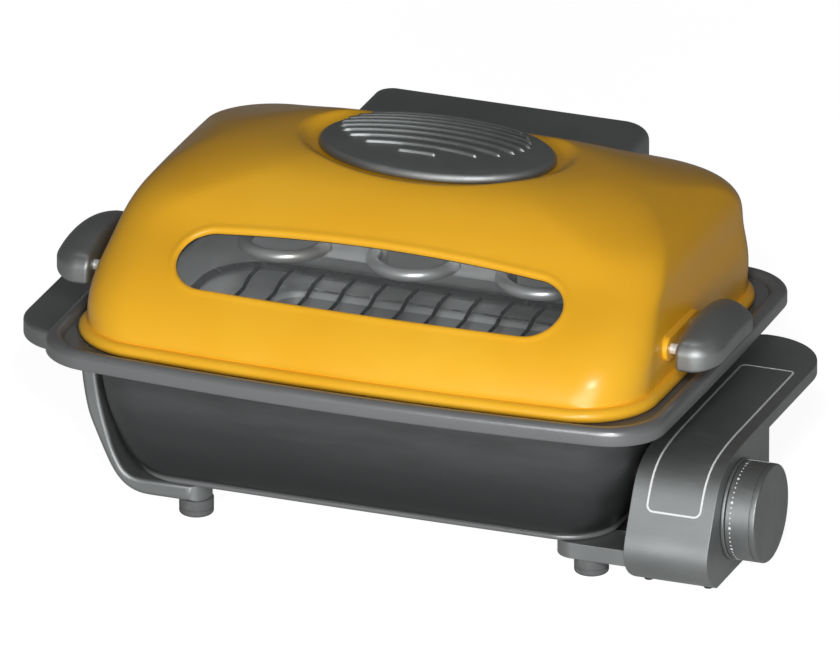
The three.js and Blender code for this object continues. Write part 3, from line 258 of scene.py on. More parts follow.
def block(x0, x1, y0, y1, z0, z1):
    return prism("z", [(x0, y0), (x1, y0), (x1, y1), (x0, y1)], z0, z1)


def turned(axis, profile, centre, steps=72):
    """A profile of (radius, place along the axis) spun round the axis: a = ca + r cos t, b = cb + r sin t."""
    radius, along = np.asarray(profile, float).T
    t = np.arange(steps) / steps * 2 * np.pi
    a, b = centre[0] + radius[:, None] * np.cos(t), centre[1] + radius[:, None] * np.sin(t)
    return skin(lay(axis, a, b, along[:, None]))


def rod(axis, radius, start, end, centre, steps):
    """A plain round rod with flat ends."""
    return turned(axis, [(0, start), (radius, start), (radius, end), (0, end)], centre, steps)


def bar(path, normal, radius, sides=20, loop=False):
    """A round bar along a flat path: across = normal x tangent, and each ring is
    p + across r cos t + normal r sin t."""
    path, normal = np.asarray(path, float), np.asarray(normal, float)
    ahead = np.roll(path, -1, 0) - np.roll(path, 1, 0) if loop else np.gradient(path, axis=0)
    across = unit(np.cross(normal, unit(ahead)))
    t = (np.arange(sides) + 0.5) / sides * 2 * np.pi
    wide = across[:, None] * (radius * np.cos(t))[None, :, None]
    high = normal[None, None] * (radius * np.sin(t))[None, :, None]
    return skin(path[:, None] + (wide + high), loop=loop, first=not loop, last=not loop)


def mirrored(part, sign):
    """The same part for sign 1, and its mirror image across the pan's middle for sign -1."""
    points, faces = part
    return points * [sign, 1, 1], (faces if sign > 0 else [face[::-1] for face in faces])


# %% [markdown]
# A Blender mesh is made only once a shape is complete. Points that fall on one another are merged, so seams
# and poles are closed. Booleans, walls and rounded edges are made with modifiers and applied at once, so no
# later step has to wait for them.


# %% Making, cutting and finishing mesh objects
def solid(name, *parts, closed=True):
    """One mesh object from pairs of points and faces, its points moved from millimetres to the frame."""
    start, faces = 0, []
    for points, part_faces in parts:
        faces += [[start + corner for corner in face] for face in part_faces]
        start += len(points)
    mesh = bpy.data.meshes.new(name)
    mesh.from_pydata((np.concatenate([p for p, _ in parts]) * MM + PAN_CENTRE).tolist(), [], faces)
    work = bmesh.new()
    work.from_mesh(mesh)
    bmesh.ops.remove_doubles(work, verts=work.verts, dist=MERGE)
    if closed:
        bmesh.ops.recalc_face_normals(work, faces=work.faces)
    work.to_mesh(mesh)
    work.free()
    piece = bpy.data.objects.new(name, mesh)
    bpy.context.scene.collection.objects.link(piece)
    return piece


MERGE = 2e-6


def apply(piece):
    """Swaps a piece's mesh for the one that its modifiers make."""
    bpy.context.view_layer.update()
    made = bpy.data.meshes.new_from_object(piece.evaluated_get(bpy.context.evaluated_depsgraph_get()))
    old, piece.data = piece.data, made
    piece.modifiers.clear()
    bpy.data.meshes.remove(old)
    return piece


def combine(piece, tool, operation):
    """Joins a closed mesh to another, or cuts it out of it, with the exact solver."""
    modifier = piece.modifiers.new("combine", "BOOLEAN")
    modifier.operation, modifier.object, modifier.solver = operation, tool, "EXACT"
    apply(piece)
    bpy.data.objects.remove(tool)
    return piece


def cut(piece, *parts):
    for i, part in enumerate(parts):
        combine(piece, solid(f"tool_{i}", part), "DIFFERENCE")
    return piece


def join(piece, *parts):
    for i, part in enumerate(parts):
        combine(piece, solid(f"tool_{i}", part), "UNION")
    return piece


def round_edges(piece, radius, segments=3, angle=35):
    """A Bevel on every edge sharper than the angle: moulded and pressed pieces have no knife edges."""
    modifier = piece.modifiers.new("round", "BEVEL")
    modifier.width, modifier.segments, modifier.limit_method = radius * MM, segments, "ANGLE"
    modifier.angle_limit, modifier.use_clamp_overlap = math.radians(angle), True
    modifier.miter_outer = "MITER_ARC"
    return apply(piece)


def thicken(piece, wall):
    """A Solidify wall on the inner side of an open skin."""
    modifier = piece.modifiers.new("wall", "SOLIDIFY")
    modifier.thickness, modifier.offset = wall * MM, -1
    return apply(piece)


def settle(piece, finish, body, node=None, level=False):
    """Gives a finished mesh its shading and its material, puts it on its body and hides the imported node
    that it stands for. level weighs the normals by face size, so that flat faces next to a rounded edge stay
    flat."""
    mesh = piece.data
    mesh.polygons.foreach_set("use_smooth", np.ones(len(mesh.polygons), bool))
    mesh.set_sharp_from_angle(angle=math.radians(CREASE))
    if level:
        piece.modifiers.new("level", "WEIGHTED_NORMAL").keep_sharp = True
        mesh = apply(piece).data
    mesh.materials.clear()
    mesh.materials.append(finish)
    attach(piece, body)
    if node:
        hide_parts(node)
    made_faces.append(len(mesh.polygons))
    return piece


CREASE = 32
made_faces = []

# %% [markdown]
# Shader maths reads best as plain sums. The small class below wraps a node's output, so that adding or
# multiplying it makes the Math node. Numbers that are the same all over a surface stay on the shader's own
# sockets, where other programs can read them.


# %% Sockets that add up, and one way of making a node
class Wire:
    """A node's output with arithmetic: each sum adds a Math node to the same tree."""

    def __init__(self, owner, socket):
        self.owner, self.socket = owner, socket

    def maths(self, operation, first, second):
        return self.owner.node("ShaderNodeMath", {"operation": operation}, {0: first, 1: second})

    def __add__(self, other):
        return self.maths("ADD", self, other)

    def __sub__(self, other):
        return self.maths("SUBTRACT", self, other)

    def __rsub__(self, other):
        return self.maths("SUBTRACT", other, self)

    def __mul__(self, other):
        return self.maths("MULTIPLY", self, other)

    __radd__, __rmul__ = __add__, __mul__


class Tree:
    """The nodes of a material or of the world."""

    def __init__(self, tree):
        self.tree = tree

    def node(self, kind, settings=None, inputs=None, output=0):
        """A node of a type, with its settings first and then its sockets' values or links."""
        made = self.tree.nodes.new(kind)
        for key, value in (settings or {}).items():
            setattr(made, key, value)
        for key, value in (inputs or {}).items():
            if isinstance(value, Wire):
                self.tree.links.new(value.socket, made.inputs[key])
            else:
                made.inputs[key].default_value = value
        return Wire(self, made.outputs[output])


class Finish(Tree):
    """A material with one Principled shader, whose fixed values are given by name."""

    def __init__(self, name, **values):
        self.material = bpy.data.materials.new(name)
        self.material.use_nodes = True
        super().__init__(self.material.node_tree)
        self.shader = self.tree.nodes["Principled BSDF"]
        for key, value in values.items():
            self.shader.inputs[key.replace("_", " ").title().replace("Ior", "IOR")].default_value = value

    def feed(self, socket, wire):
        self.tree.links.new(wire.socket, self.shader.inputs[socket])

    def show(self, wire):
        """Puts another shader in the Principled shader's place."""
        self.tree.links.new(wire.socket, self.tree.nodes["Material Output"].inputs["Surface"])

    def place(self, stretch=(1, 1, 1)):
        """Object coordinates in metres, stretched along each axis."""
        where = self.node("ShaderNodeTexCoord", output="Object")
        return self.node("ShaderNodeMapping", {}, {"Vector": where, "Scale": stretch})

    def along(self, axis):
        """How far along one axis a spot lies, in metres."""
        return self.node("ShaderNodeSeparateXYZ", {}, {0: self.place()}, output=axis)

    def noise(self, scale, detail=2.0, roughness=0.5, stretch=(1, 1, 1)):
        """Cloudy values from 0 to 1; scale is waves in a metre."""
        sockets = {"Vector": self.place(stretch), "Scale": scale, "Detail": detail, "Roughness": roughness}
        return self.node("ShaderNodeTexNoise", {}, sockets)

    def cells(self, scale, stretch=(1, 1, 1)):
        return self.node("ShaderNodeTexVoronoi", {}, {"Vector": self.place(stretch), "Scale": scale})

    def band(self, wire, low, high):
        """0 below low, 1 above high, and smooth between."""
        settings = {"interpolation_type": "SMOOTHSTEP"}
        return self.node("ShaderNodeMapRange", settings, {0: wire, 1: low, 2: high, 3: 0.0, 4: 1.0})

    def mix(self, factor, first, second):
        """A colour between two colours."""
        return self.node("ShaderNodeMix", {"data_type": "RGBA"}, {0: factor, 6: first, 7: second}, output=2)

    def bump(self, height, distance, strength=1.0):
        """Small relief; distance is how many metres the height stands for."""
        sockets = {"Height": height, "Distance": distance, "Strength": strength}
        self.feed("Normal", self.node("ShaderNodeBump", {}, sockets, output="Normal"))


def colour(red, green, blue):
    """A screen colour, 0 to 255, as the linear values that a shader takes."""
    c = np.array([red, green, blue]) / 255
    return (*np.where(c <= 0.04045, c / 12.92, ((c + 0.055) / 1.055) ** 2.4), 1.0)


# %% [markdown]
# Enamel on the lid is a thick, glossy yellow coat over pressed sheet. Close up it has the faint waviness of
# sprayed paint, and handling leaves patches that are a little duller. The patches steer the roughness, a
# fine noise steers the bump, and the shade drifts by a few per cent so that a wide face isn't one flat tone.


# %% Enamel
def enamel():
    finish = Finish("yellow_enamel", coat_weight=0.3, coat_roughness=0.2, ior=1.4, coat_ior=1.4)
    drift = finish.noise(9, 3)
    patches = finish.noise(38, 4, 0.6)
    specks = finish.cells(520)
    base = finish.mix(finish.band(drift, 0.3, 0.7), colour(250, 184, 40), colour(254, 193, 50))
    wear_and_painted_shade = finish.band(specks, 0.12, 0.05) * finish.band(patches, 0.55, 0.75) * 0.5
    finish.feed("Base Color", finish.mix(wear_and_painted_shade, base, colour(222, 156, 36)))
    finish.feed("Roughness", 0.3 + finish.band(patches, 0.35, 0.75) * 0.12)
    finish.bump(finish.noise(420, 2) * 0.7 + finish.noise(70, 1) * 1.5, 0.00005)
    return finish.material


YELLOW = enamel()

# %% [markdown]
# The pan has a dark non-stick coating: satin, very slightly speckled, with faint streaks where it is wiped.
# Moulded plastic is a little lighter and has a fine spark-eroded grain. Both read as dark grey from a step
# away, so their grain and their roughness are what tells them apart. Both are part metal, because the picture
# shows them bright where they face the light and nearly black where they don't. The pan's wall is painted
# darker towards its foot as painted shade. Its rim and the bead round its foot are painted lighter as a
# painted highlight, and they are smoother.


# %% Coating and moulded plastic
def coating():
    finish = Finish("pan_coating", ior=1.45, metallic=0.5)
    speckle = finish.cells(900)
    streaks = finish.noise(14, 4, 0.6, (1, 1, 5))
    height = finish.along("Z")
    on_rim, on_bead, down = (finish.band(height, a * MM, b * MM) for a, b in (RIM_HIGHLIGHT_FADE, BEAD_HIGHLIGHT_FADE, FOOT_SHADE_FADE))
    wall = finish.mix(finish.band(streaks, 0.3, 0.7), colour(90, 91, 92), colour(99, 100, 101))
    # Painted shade: the wall is painted a darker grey towards its foot.
    wear_and_painted_shade = finish.mix(down, wall, colour(56, 57, 58))
    # Painted highlight: the rim and the bead round the foot are painted a lighter grey.
    edge = on_rim + on_bead
    base = finish.mix(edge, wear_and_painted_shade, colour(140, 141, 142))
    speckled = finish.mix(finish.band(speckle, 0.16, 0.08) * 0.35, base, colour(120, 121, 124))
    finish.feed("Base Color", speckled)
    finish.feed("Roughness", 0.38 - edge * 0.12 + finish.band(streaks, 0.3, 0.75) * 0.12)
    finish.bump(finish.noise(1100, 2) + finish.noise(160, 2), 0.00004)
    return finish.material


def plastic(name="dark_plastic", dark=(150, 153, 153), light=(158, 161, 161), dull=0.48):
    finish = Finish(name, ior=1.46, metallic=0.85)
    clouds = finish.noise(24, 3)
    scuffs = finish.noise(60, 5, 0.7, (1, 6, 1))
    finish.feed("Base Color", finish.mix(finish.band(clouds, 0.3, 0.7), colour(*dark), colour(*light)))
    finish.feed("Roughness", dull + finish.band(scuffs, 0.45, 0.8) * 0.16)
    finish.bump(finish.cells(1500) * 0.6 + finish.noise(2400, 1) * 0.5, 0.00005)
    return finish.material


# Heights of the painted highlight on the rim and on the bead, and of the painted shade that darkens the wall
# towards its foot.
RIM_HIGHLIGHT_FADE = RIM_TOP - 12, RIM_TOP - 10.5
BEAD_HIGHLIGHT_FADE, FOOT_SHADE_FADE = (PAN_BASE + 4.4, PAN_BASE + 3.9), (RIM_TOP - 14, PAN_BASE + 4)
COATING = coating()
PLASTIC = plastic()
KNOB_PLASTIC = plastic("knob_plastic", (144, 147, 147), (152, 155, 155), 0.46)

# %% [markdown]
# Sheet steel is rolled, so its grain runs one way. A noise stretched along one axis gives the lines, for the
# roughness and for a bump far too fine to see as relief. The tray's trough is painted darker, as painted
# shade in its recess. Heaters are annealed to a warm grey with a faint tint where they run hottest.


# %% Metals
def steel(name, shade, roughness, stretch, metal=1.0, shaded_below=None):
    finish = Finish(name, metallic=metal)
    grain = finish.noise(60, 4, 0.7, stretch)
    clouds = finish.noise(16, 3)
    lighter = [min(255, value + 16) for value in shade]
    base = finish.mix(finish.band(clouds, 0.3, 0.7), colour(*shade), colour(*lighter))
    # Painted shade: below a given height the sheet is painted darker, for the tray's trough.
    if shaded_below:
        trough_shade = finish.band(finish.along("Z"), shaded_below * MM, (shaded_below - 1) * MM)
        base = finish.mix(trough_shade, base, colour(*(value - 62 for value in shade)))
    finish.feed("Base Color", base)
    finish.feed("Roughness", roughness + grain * 0.14 + finish.band(clouds, 0.4, 0.8) * 0.06)
    finish.bump(grain, 0.00002, 0.6)
    return finish.material


def heater_sheath():
    finish = Finish("heater_sheath", metallic=0.6)
    heat = finish.band(finish.noise(11, 2), 0.4, 0.65)
    finish.feed("Base Color", finish.mix(heat, colour(236, 236, 237), colour(216, 212, 208)))
    finish.feed("Roughness", 0.28 + finish.noise(150, 4, 0.6) * 0.16)
    finish.bump(finish.noise(900, 3), 0.00003)
    return finish.material


def brass():
    finish = Finish("turned_brass", metallic=1.0)
    rings = finish.noise(40, 3, 0.6, (30, 1, 1))
    finish.feed("Base Color", finish.mix(rings, colour(206, 170, 98), colour(184, 146, 78)))
    finish.feed("Roughness", 0.25 + rings * 0.15)
    return finish.material


# Height below which the tray's trough is painted darker, as painted shade.
TROUGH_SHADE = LEDGE - 35
SHEET = steel("sheet_steel", (246, 247, 248), 0.4, (1, 18, 18), 0.2)
PRESSED = steel("pressed_steel", (176, 177, 180), 0.26, (1, 18, 1))
BLACKED = steel("blacked_steel", (72, 73, 75), 0.34, (1, 18, 1))
TRAY_STEEL = steel("tray_steel", (246, 247, 248), 0.4, (1, 18, 18), 0.2, TROUGH_SHADE)
SHEATH, BRASS = heater_sheath(), brass()


# %% [markdown]
# Plated wire, rubber, ceramic and print differ in their numbers only: a clean colour goes over into a worn
# one where a noise is high, the worn spots are duller, and a finer noise gives the grain. So one function
# makes them all. The glass mixes a clear shader with a shiny one, because light has to reach the inside.


# %% Wire, rubber, ceramic, print and glass
def weathered(name, clouds, fade, clean, used, gloss, grain, relief, inner=None, **values):
    """clouds and grain are a noise's scale, detail and roughness, fade where the wear begins and is full,
    gloss the roughness and what wear adds to it. inner is the shade of wires inside the rack's frame."""
    finish = Finish(name, **values)
    wear = finish.band(finish.noise(*clouds), *fade)
    base = finish.mix(wear, colour(*clean), colour(*used))
    if inner:
        x, y = finish.along("X") - float(PAN_CENTRE[0]), finish.along("Y") - float(PAN_CENTRE[1])
        ends, sides = (finish.band(way * way, a**2, b**2) for way, (a, b) in zip((x, y), FRAME_FADES))
        base = finish.mix(ends + sides, colour(*inner), base)
    finish.feed("Base Color", base)
    finish.feed("Roughness", gloss[0] + wear * gloss[1])
    finish.bump(finish.noise(*grain), relief)
    return finish.material


def window_glass():
    """Clear glass as a mix of see-through and mirror by Fresnel, so that lamps still light the inside."""
    finish = Finish("window_glass", ior=1.5)
    smear = finish.noise(30, 4, 0.6)
    finish.feed("Roughness", 0.02 + finish.band(smear, 0.5, 0.85) * 0.06)
    finish.feed("Base Color", finish.mix(smear, colour(236, 240, 241), colour(226, 232, 233)))
    clear = finish.node("ShaderNodeBsdfTransparent", {}, {"Color": colour(250, 251, 251)})
    edge = finish.node("ShaderNodeFresnel", {}, {"IOR": 1.45})
    shine = Wire(finish, finish.shader.outputs["BSDF"])
    finish.show(finish.node("ShaderNodeMixShader", {}, {0: edge * 0.4, 1: clear, 2: shine}))
    return finish.material


FRAME_FADES = (0.132, 0.134), (0.0785, 0.08)
PLATED = (90, 4, 0.6), (0.5, 0.75)
POLISH = (0.2, 0.2), (1300, 2), 0.00002
WIRE_TONES = (146, 147, 149), (128, 127, 125)
WIRE = weathered("plated_wire", *PLATED, *WIRE_TONES, *POLISH, (82, 82, 83), metallic=0.5)
POLISHED = weathered("polished_steel", *PLATED, (240, 241, 242), (222, 222, 222), *POLISH, metallic=0.4)
DUSTY = (120, 4, 0.7), (0.5, 0.8)
MATT = (0.62, 0.2), (700, 3), 0.0001
RUBBER = weathered("rubber", *DUSTY, (104, 105, 106), (122, 121, 119), *MATT, ior=1.5)
GASKET = weathered("gasket_rubber", *DUSTY, (30, 30, 31), (44, 43, 42), *MATT, ior=1.5)
GLAZE = (0.32, 0.2), (500, 2), 0.00005
CERAMIC = weathered(
    "ceramic", (60, 3), (0.45, 0.8), (238, 235, 226), (214, 206, 190), *GLAZE, ior=1.5, coat_weight=0.4
)
INK = (0.45, 0.2), (1500, 1), 0.00002
PRINT = weathered("white_print", (900, 3), (0.45, 0.85), (246, 247, 247), (222, 224, 225), *INK, ior=1.5)
GLASS = window_glass()
print("materials", len(bpy.data.materials))

# %% [markdown]
# The camera comes before the pieces, so every test render is framed like the photograph. The picture was
# taken with no perspective to speak of, so the camera stands far back with a very long lens. The direction
# was found from the object's own right angles, and the scale from the length of the rim.

# %% Camera
PICTURE_WIDTH, PICTURE_HEIGHT = 840, 665
PIXELS_PER_MM = 1.7
AZIMUTH, ELEVATION = math.radians(20.74), math.radians(22.72)
LENS = 1100.0
AIM_LEVEL = 109.0
AIM_PIXEL_X, AIM_PIXEL_Y = 417.3, 317.8
level_share = math.cos(ELEVATION)
view_line = Vector((-math.sin(AZIMUTH) * level_share, math.cos(AZIMUTH) * level_share, -math.sin(ELEVATION)))
view_right = Vector((math.cos(AZIMUTH), math.sin(AZIMUTH), 0))
view_up = view_right.cross(view_line)
lens = bpy.data.cameras.new("camera")
lens.lens, lens.clip_start, lens.clip_end = LENS, 0.1, 100
camera = bpy.data.objects.new("camera", lens)
bpy.context.scene.collection.objects.link(camera)
bpy.context.scene.camera = camera
shift_right = (PICTURE_WIDTH / 2 - AIM_PIXEL_X) / PIXELS_PER_MM * MM
shift_down = (PICTURE_HEIGHT / 2 - AIM_PIXEL_Y) / PIXELS_PER_MM * MM
aim = Vector((*PAN_CENTRE[:2], AIM_LEVEL * MM)) + view_right * shift_right - view_up * shift_down
distance = PICTURE_WIDTH / PIXELS_PER_MM * MM * LENS / lens.sensor_width
rotation = Matrix((view_right, view_up, -view_line)).transposed()
camera.matrix_world = Matrix.Translation(aim - view_line * distance) @ rotation.to_4x4()
print("camera stands", round(distance, 2), "m away")

# %% [markdown]
# The outer pan is one closed skin. Its profile starts under the floor, goes round the foot ring, up the
# leaning wall, over the rim band and back down inside. Each profile point is a whole outline, drawn in by
# that much: the long walls lean more than the ends and lose their bow on the way down.

# %% Outer pan
RIM_LENGTH, RIM_DEPTH, RIM_CORNER, RIM_BOW, RIM_SIDE_BOW = 388.0, 282.0, 30.0, 11.0, 1.7
RIM_HEIGHT, RIM_WIDTH, PAN_WALL = 11.0, 9.0, 2.5
LEDGE_THICKNESS, FOOT_RING, FOOT_RING_WIDTH, PAN_FLOOR = 3.0, 3.5, 4.0, 3.0
WALL_TOP_INSET, WALL_TAPER, FLOOR_TAPER = 25.5, 19.5, 11.0
LONG_WALL_SHARE, FLATTEST_SHARE = 0.28, 0.1
WALL_TAPER_SHARES = [1, 0.9, 0.74, 0.49, 0.23, 0.08, 0]
WALL_HEIGHT_SHARES = [0, 0.03, 0.09, 0.25, 0.49, 0.73, 1]
RIM_BOTTOM = RIM_TOP - RIM_HEIGHT
WALL_FOOT, WALL_HEAD = PAN_BASE + FOOT_RING, LEDGE - LEDGE_THICKNESS
PAN_FLOOR_TOP = WALL_FOOT + PAN_FLOOR
PLAN = turns()


def pan_ring(inset, z, turn=PLAN):
    """The rim's outline drawn in by inset, with the long walls leaning in by a further share."""
    depth = RIM_DEPTH / 2 - inset - LONG_WALL_SHARE * np.maximum(inset - WALL_TOP_INSET, 0)
    bow = RIM_BOW * np.maximum(1 - inset / (WALL_TOP_INSET + WALL_TAPER), FLATTEST_SHARE)
    return at_height(*outline(turn, RIM_LENGTH / 2 - inset, depth, depth, RIM_CORNER, bow, RIM_SIDE_BOW), z)


def pan_skin(profile, **ends):
    """A skin through pan outlines, one for each (inset, height) of a profile."""
    inset, z = np.asarray(profile, float).T
    return skin(pan_ring(inset[:, None], z[:, None]), **ends)


wall_line = smooth_line(
    [
        (WALL_TOP_INSET + WALL_TAPER * taper, WALL_FOOT + (WALL_HEAD - WALL_FOOT) * height)
        for taper, height in zip(WALL_TAPER_SHARES, WALL_HEIGHT_SHARES)
    ],
    34,
)
RIM_ROUND, RIM_FOOT_ROUND, BEAD_INSET = 4.3, 1.3, 44.3
foot_inset = WALL_TOP_INSET + WALL_TAPER + FOOT_RING / 2
under = fillet(
    [
        (foot_inset + FOOT_RING_WIDTH + FOOT_RING / 2, WALL_FOOT, 0),
        (foot_inset + FOOT_RING_WIDTH, PAN_BASE, 1.0),
        (BEAD_INSET, PAN_BASE, 1.7),
        (BEAD_INSET, WALL_FOOT - 0.1, 1.4),
        (BEAD_INSET + 1.3, WALL_FOOT + 0.3, 0),
    ],
    5,
)
rim = fillet(
    [
        (WALL_TOP_INSET, WALL_HEAD, 0),
        (RIM_WIDTH, WALL_HEAD, 1.5),
        (RIM_WIDTH, RIM_BOTTOM, 1.0),
        (0, RIM_BOTTOM, RIM_FOOT_ROUND),
        (0, RIM_TOP, RIM_ROUND),
        (RIM_WIDTH, RIM_TOP, RIM_ROUND),
        (RIM_WIDTH, LEDGE, 1.0),
        (WALL_TOP_INSET + PAN_WALL / 2, LEDGE, 1.2),
        (WALL_TOP_INSET + PAN_WALL, LEDGE - PAN_WALL, 0),
    ],
    7,
)
inside = fillet(
    [
        (WALL_TOP_INSET + WALL_TAPER + PAN_WALL, PAN_FLOOR_TOP, 0),
        (WALL_TOP_INSET + WALL_TAPER + FLOOR_TAPER, PAN_FLOOR_TOP, 0),
    ]
)
inner_wall = (wall_line[wall_line[:, 1] > PAN_FLOOR_TOP + 1] + [PAN_WALL, 0])[::-1][2:]
pan_profile = np.concatenate([under, wall_line[1:-1], rim, inner_wall, inside])
pan = solid("pan_body", pan_skin(pan_profile, first=True, last=True))
settle(pan, COATING, "stand", "outer_pan")
print("pan rows", len(pan_profile), "faces", made_faces[-1])

# %% [markdown]
# The inner tray hangs from a flange on the pan's ledge. Its wall follows the pan's, and a lower trough in
# the floor keeps the drips. It is thin pressed sheet, so only its upper skin is drawn and a Solidify
# modifier gives the gauge. The floor changes from the pan's outline to the trough's in one flat band.

# %% Inner tray
SHEET_GAUGE, TRAY_DEPTH, TRAY_FLOOR_INSET = 1.0, 32.0, 47.0
TRAY_TOP = span("inner_tray")[1][2]
TRAY_FLOOR = LEDGE - TRAY_DEPTH
TRAY_WALL_INSETS, TRAY_WALL_SHARES = [32.5, 33.0, 34.5, 35.5, 39.0], [0.04, 0.12, 0.32, 0.6, 0.84]
TROUGH_HALF, TROUGH_DEPTH, TROUGH_CORNER, TROUGH_DROP, TROUGH_SLOPE = 118.0, 85.0, 18.0, 12.0, 4.0
FLANGE_INSET, TRAY_LIP_INSET = 2.6, 30.2
LID_HALF, LID_DEPTH, LID_CORNER, LID_BOW, LID_SIDE_BOW = 176.0, 123.0, 38.5, 8.0, 1.5


def lid_foot(inset, z, turn=PLAN):
    """The lid's own plan at its foot, drawn in by inset."""
    depth, corner = LID_DEPTH - inset, LID_CORNER - inset
    return at_height(*outline(turn, LID_HALF - inset, depth, depth, corner, LID_BOW, LID_SIDE_BOW), z)


def trough_ring(grow, z):
    """The trough's outline, grown by a distance."""
    depth = TROUGH_DEPTH + grow
    return at_height(*outline(PLAN, TROUGH_HALF + grow, depth, depth, TROUGH_CORNER + grow), z)


tray_drops = TRAY_TOP - TRAY_DEPTH * np.array(TRAY_WALL_SHARES)
tray_wall = smooth_line(np.column_stack([TRAY_WALL_INSETS, tray_drops]), 14)
tray_corner = TRAY_WALL_INSETS[-1] + 3
tray_foot = fillet([(*tray_wall[-1], 0), (tray_corner, TRAY_FLOOR, 6), (TRAY_FLOOR_INSET, TRAY_FLOOR, 0)])
lip_inset = TRAY_WALL_INSETS[0] - 0.1
tray_lip = fillet([(TRAY_LIP_INSET, TRAY_TOP, 0), (lip_inset, TRAY_TOP, 0.8), (*tray_wall[0], 0)], 6)
tray_line = np.concatenate([tray_lip, tray_wall[1:-1], tray_foot])
trough_line = fillet(
    [
        (5, TRAY_FLOOR, 0),
        (0.4, TRAY_FLOOR, 2),
        (0.4 - TROUGH_SLOPE, TRAY_FLOOR - TROUGH_DROP, 4),
        (-14, TRAY_FLOOR - TROUGH_DROP, 0),
    ],
    6,
)
tray_rings = np.concatenate(
    [
        lid_foot(FLANGE_INSET, TRAY_TOP)[None],
        pan_ring(tray_line[:, :1], tray_line[:, 1:]),
        trough_ring(trough_line[:, :1], trough_line[:, 1:]),
    ]
)
tray = solid("tray_sheet", skin(tray_rings[::-1], first=True), closed=False)
tray.data.flip_normals()
thicken(tray, SHEET_GAUGE)
settle(tray, TRAY_STEEL, "stand", "inner_tray")
print("tray rows", len(tray_rings))

# %% [markdown]
# The rack is welded from wire: a thick frame, thin cross wires that step down to a lower middle, and four
# short legs. Every wire is a bar along its own centre line. The cross wires repeat, so one loop makes them.

# %% Rack
RACK_LENGTH, RACK_DEPTH, RACK_CORNER, RACK_WIRE, CROSS_WIRE = 308.0, 166.0, 36.0, 5.0, 2.4
RACK_Z = TRAY_FLOOR + 14.0
CROSS_WIRES, CROSS_PITCH, CROSS_LANDING, CROSS_RUN, CROSS_DROP, CROSS_BEND = 14, 20.0, 20.0, 11.0, 3.5, 4
RACK_LEG_Y, LEG_GAP, LEG_EDGE = 36.0, 0.25, 0.6
UP, RIGHT = (0, 0, 1), (1, 0, 0)


def flat_path(corners, z, steps=12, loop=False):
    """A path of (x, y, radius) corners at one height."""
    return at_height(*fillet(corners, steps, loop).T, z)


frame_corners = [(sx * RACK_LENGTH / 2, sy * RACK_DEPTH / 2, RACK_CORNER) for sx, sy in CORNER_SIGNS]
rack_parts = [bar(flat_path(frame_corners, RACK_Z, loop=True), UP, RACK_WIRE / 2, loop=True)]
step_y = [RACK_DEPTH / 2, RACK_DEPTH / 2 - CROSS_LANDING, RACK_DEPTH / 2 - CROSS_LANDING - CROSS_RUN]
cross_corners = [(step_y[0], RACK_Z, 0), (step_y[1], RACK_Z, CROSS_BEND)]
cross_corners += [(step_y[2], RACK_Z - CROSS_DROP, CROSS_BEND)]
cross_corners += [(-y, z, radius) for y, z, radius in cross_corners[::-1]]
cross_line = fillet(cross_corners, 4)
cross_x = (np.arange(CROSS_WIRES) - (CROSS_WIRES - 1) / 2) * CROSS_PITCH
for x in cross_x:
    path = np.column_stack([np.full(len(cross_line), x), cross_line])
    rack_parts.append(bar(path, RIGHT, CROSS_WIRE / 2, sides=12))
leg_foot, leg_top, leg_radius = TRAY_FLOOR + LEG_GAP, RACK_Z - CROSS_DROP, RACK_WIRE / 2
leg = [(0, leg_foot), (leg_radius - LEG_EDGE, leg_foot), (leg_radius, leg_foot + LEG_EDGE)]
leg += [(leg_radius, leg_top), (0, leg_top)]
rack_parts += [turned("z", leg, (x, y), 20) for x in cross_x[[0, -1]] for y in (-RACK_LEG_Y, RACK_LEG_Y)]
settle(solid("wire_rack", *rack_parts), WIRE, "rack", "rack")
print("cross wires", len(cross_x))

# %% [markdown]
# The lid is the hardest shape: a dome whose front slopes far more than its back, with no flat place on it.
# Eleven outlines, from the foot to the top, hold its form, and a spline through them gives every point
# between. The highest one is swapped for the oval of the vent, so the grid ends exactly at that hole.

# %% The dome's surface
LID_HEIGHT, FULLEST_SHARE = 97.0, 0.95
VENT_Y, VENT_HOLE = 34.0, (52.0, 28.0)
Z_SHARES = [0.087, 0.196, 0.351, 0.506, 0.629, 0.743, 0.836, 0.908, 0.959, 0.99, 1]
SIDE_SHARES = [1, 1, 0.994, 0.974, 0.961, 0.928, 0.864, 0.784, 0.69, 0.585, 0.3]
FRONT_SHARES = [1, 0.965, 0.875, 0.724, 0.569, 0.457, 0.36, 0.268, 0.179, 0.09, -0.1]
BACK_SHARES = [1, 1, 1, 1, 1, 0.951, 0.829, 0.711, 0.634, 0.58, 0.455]
CORNER_SHARES = [1, 0.9, 0.87, 0.8, 0.76, 0.865, 1.09, 1.25, 1.34, 1.39, 0.5]
LIFT_SHARES = [0, 0.1, 0.3, 0.6, 0.75, 0.85, 0.95, 1, 1, 1, 1]
DROP_SHARES = [0, 0, 0, 0, 0, 0.2, 0.5, 0.8, 1, 1, 1]
BOW_SHARES = [1, 1, 1, 1, 1, 1, 1, 1, 1, 1, 0.3]


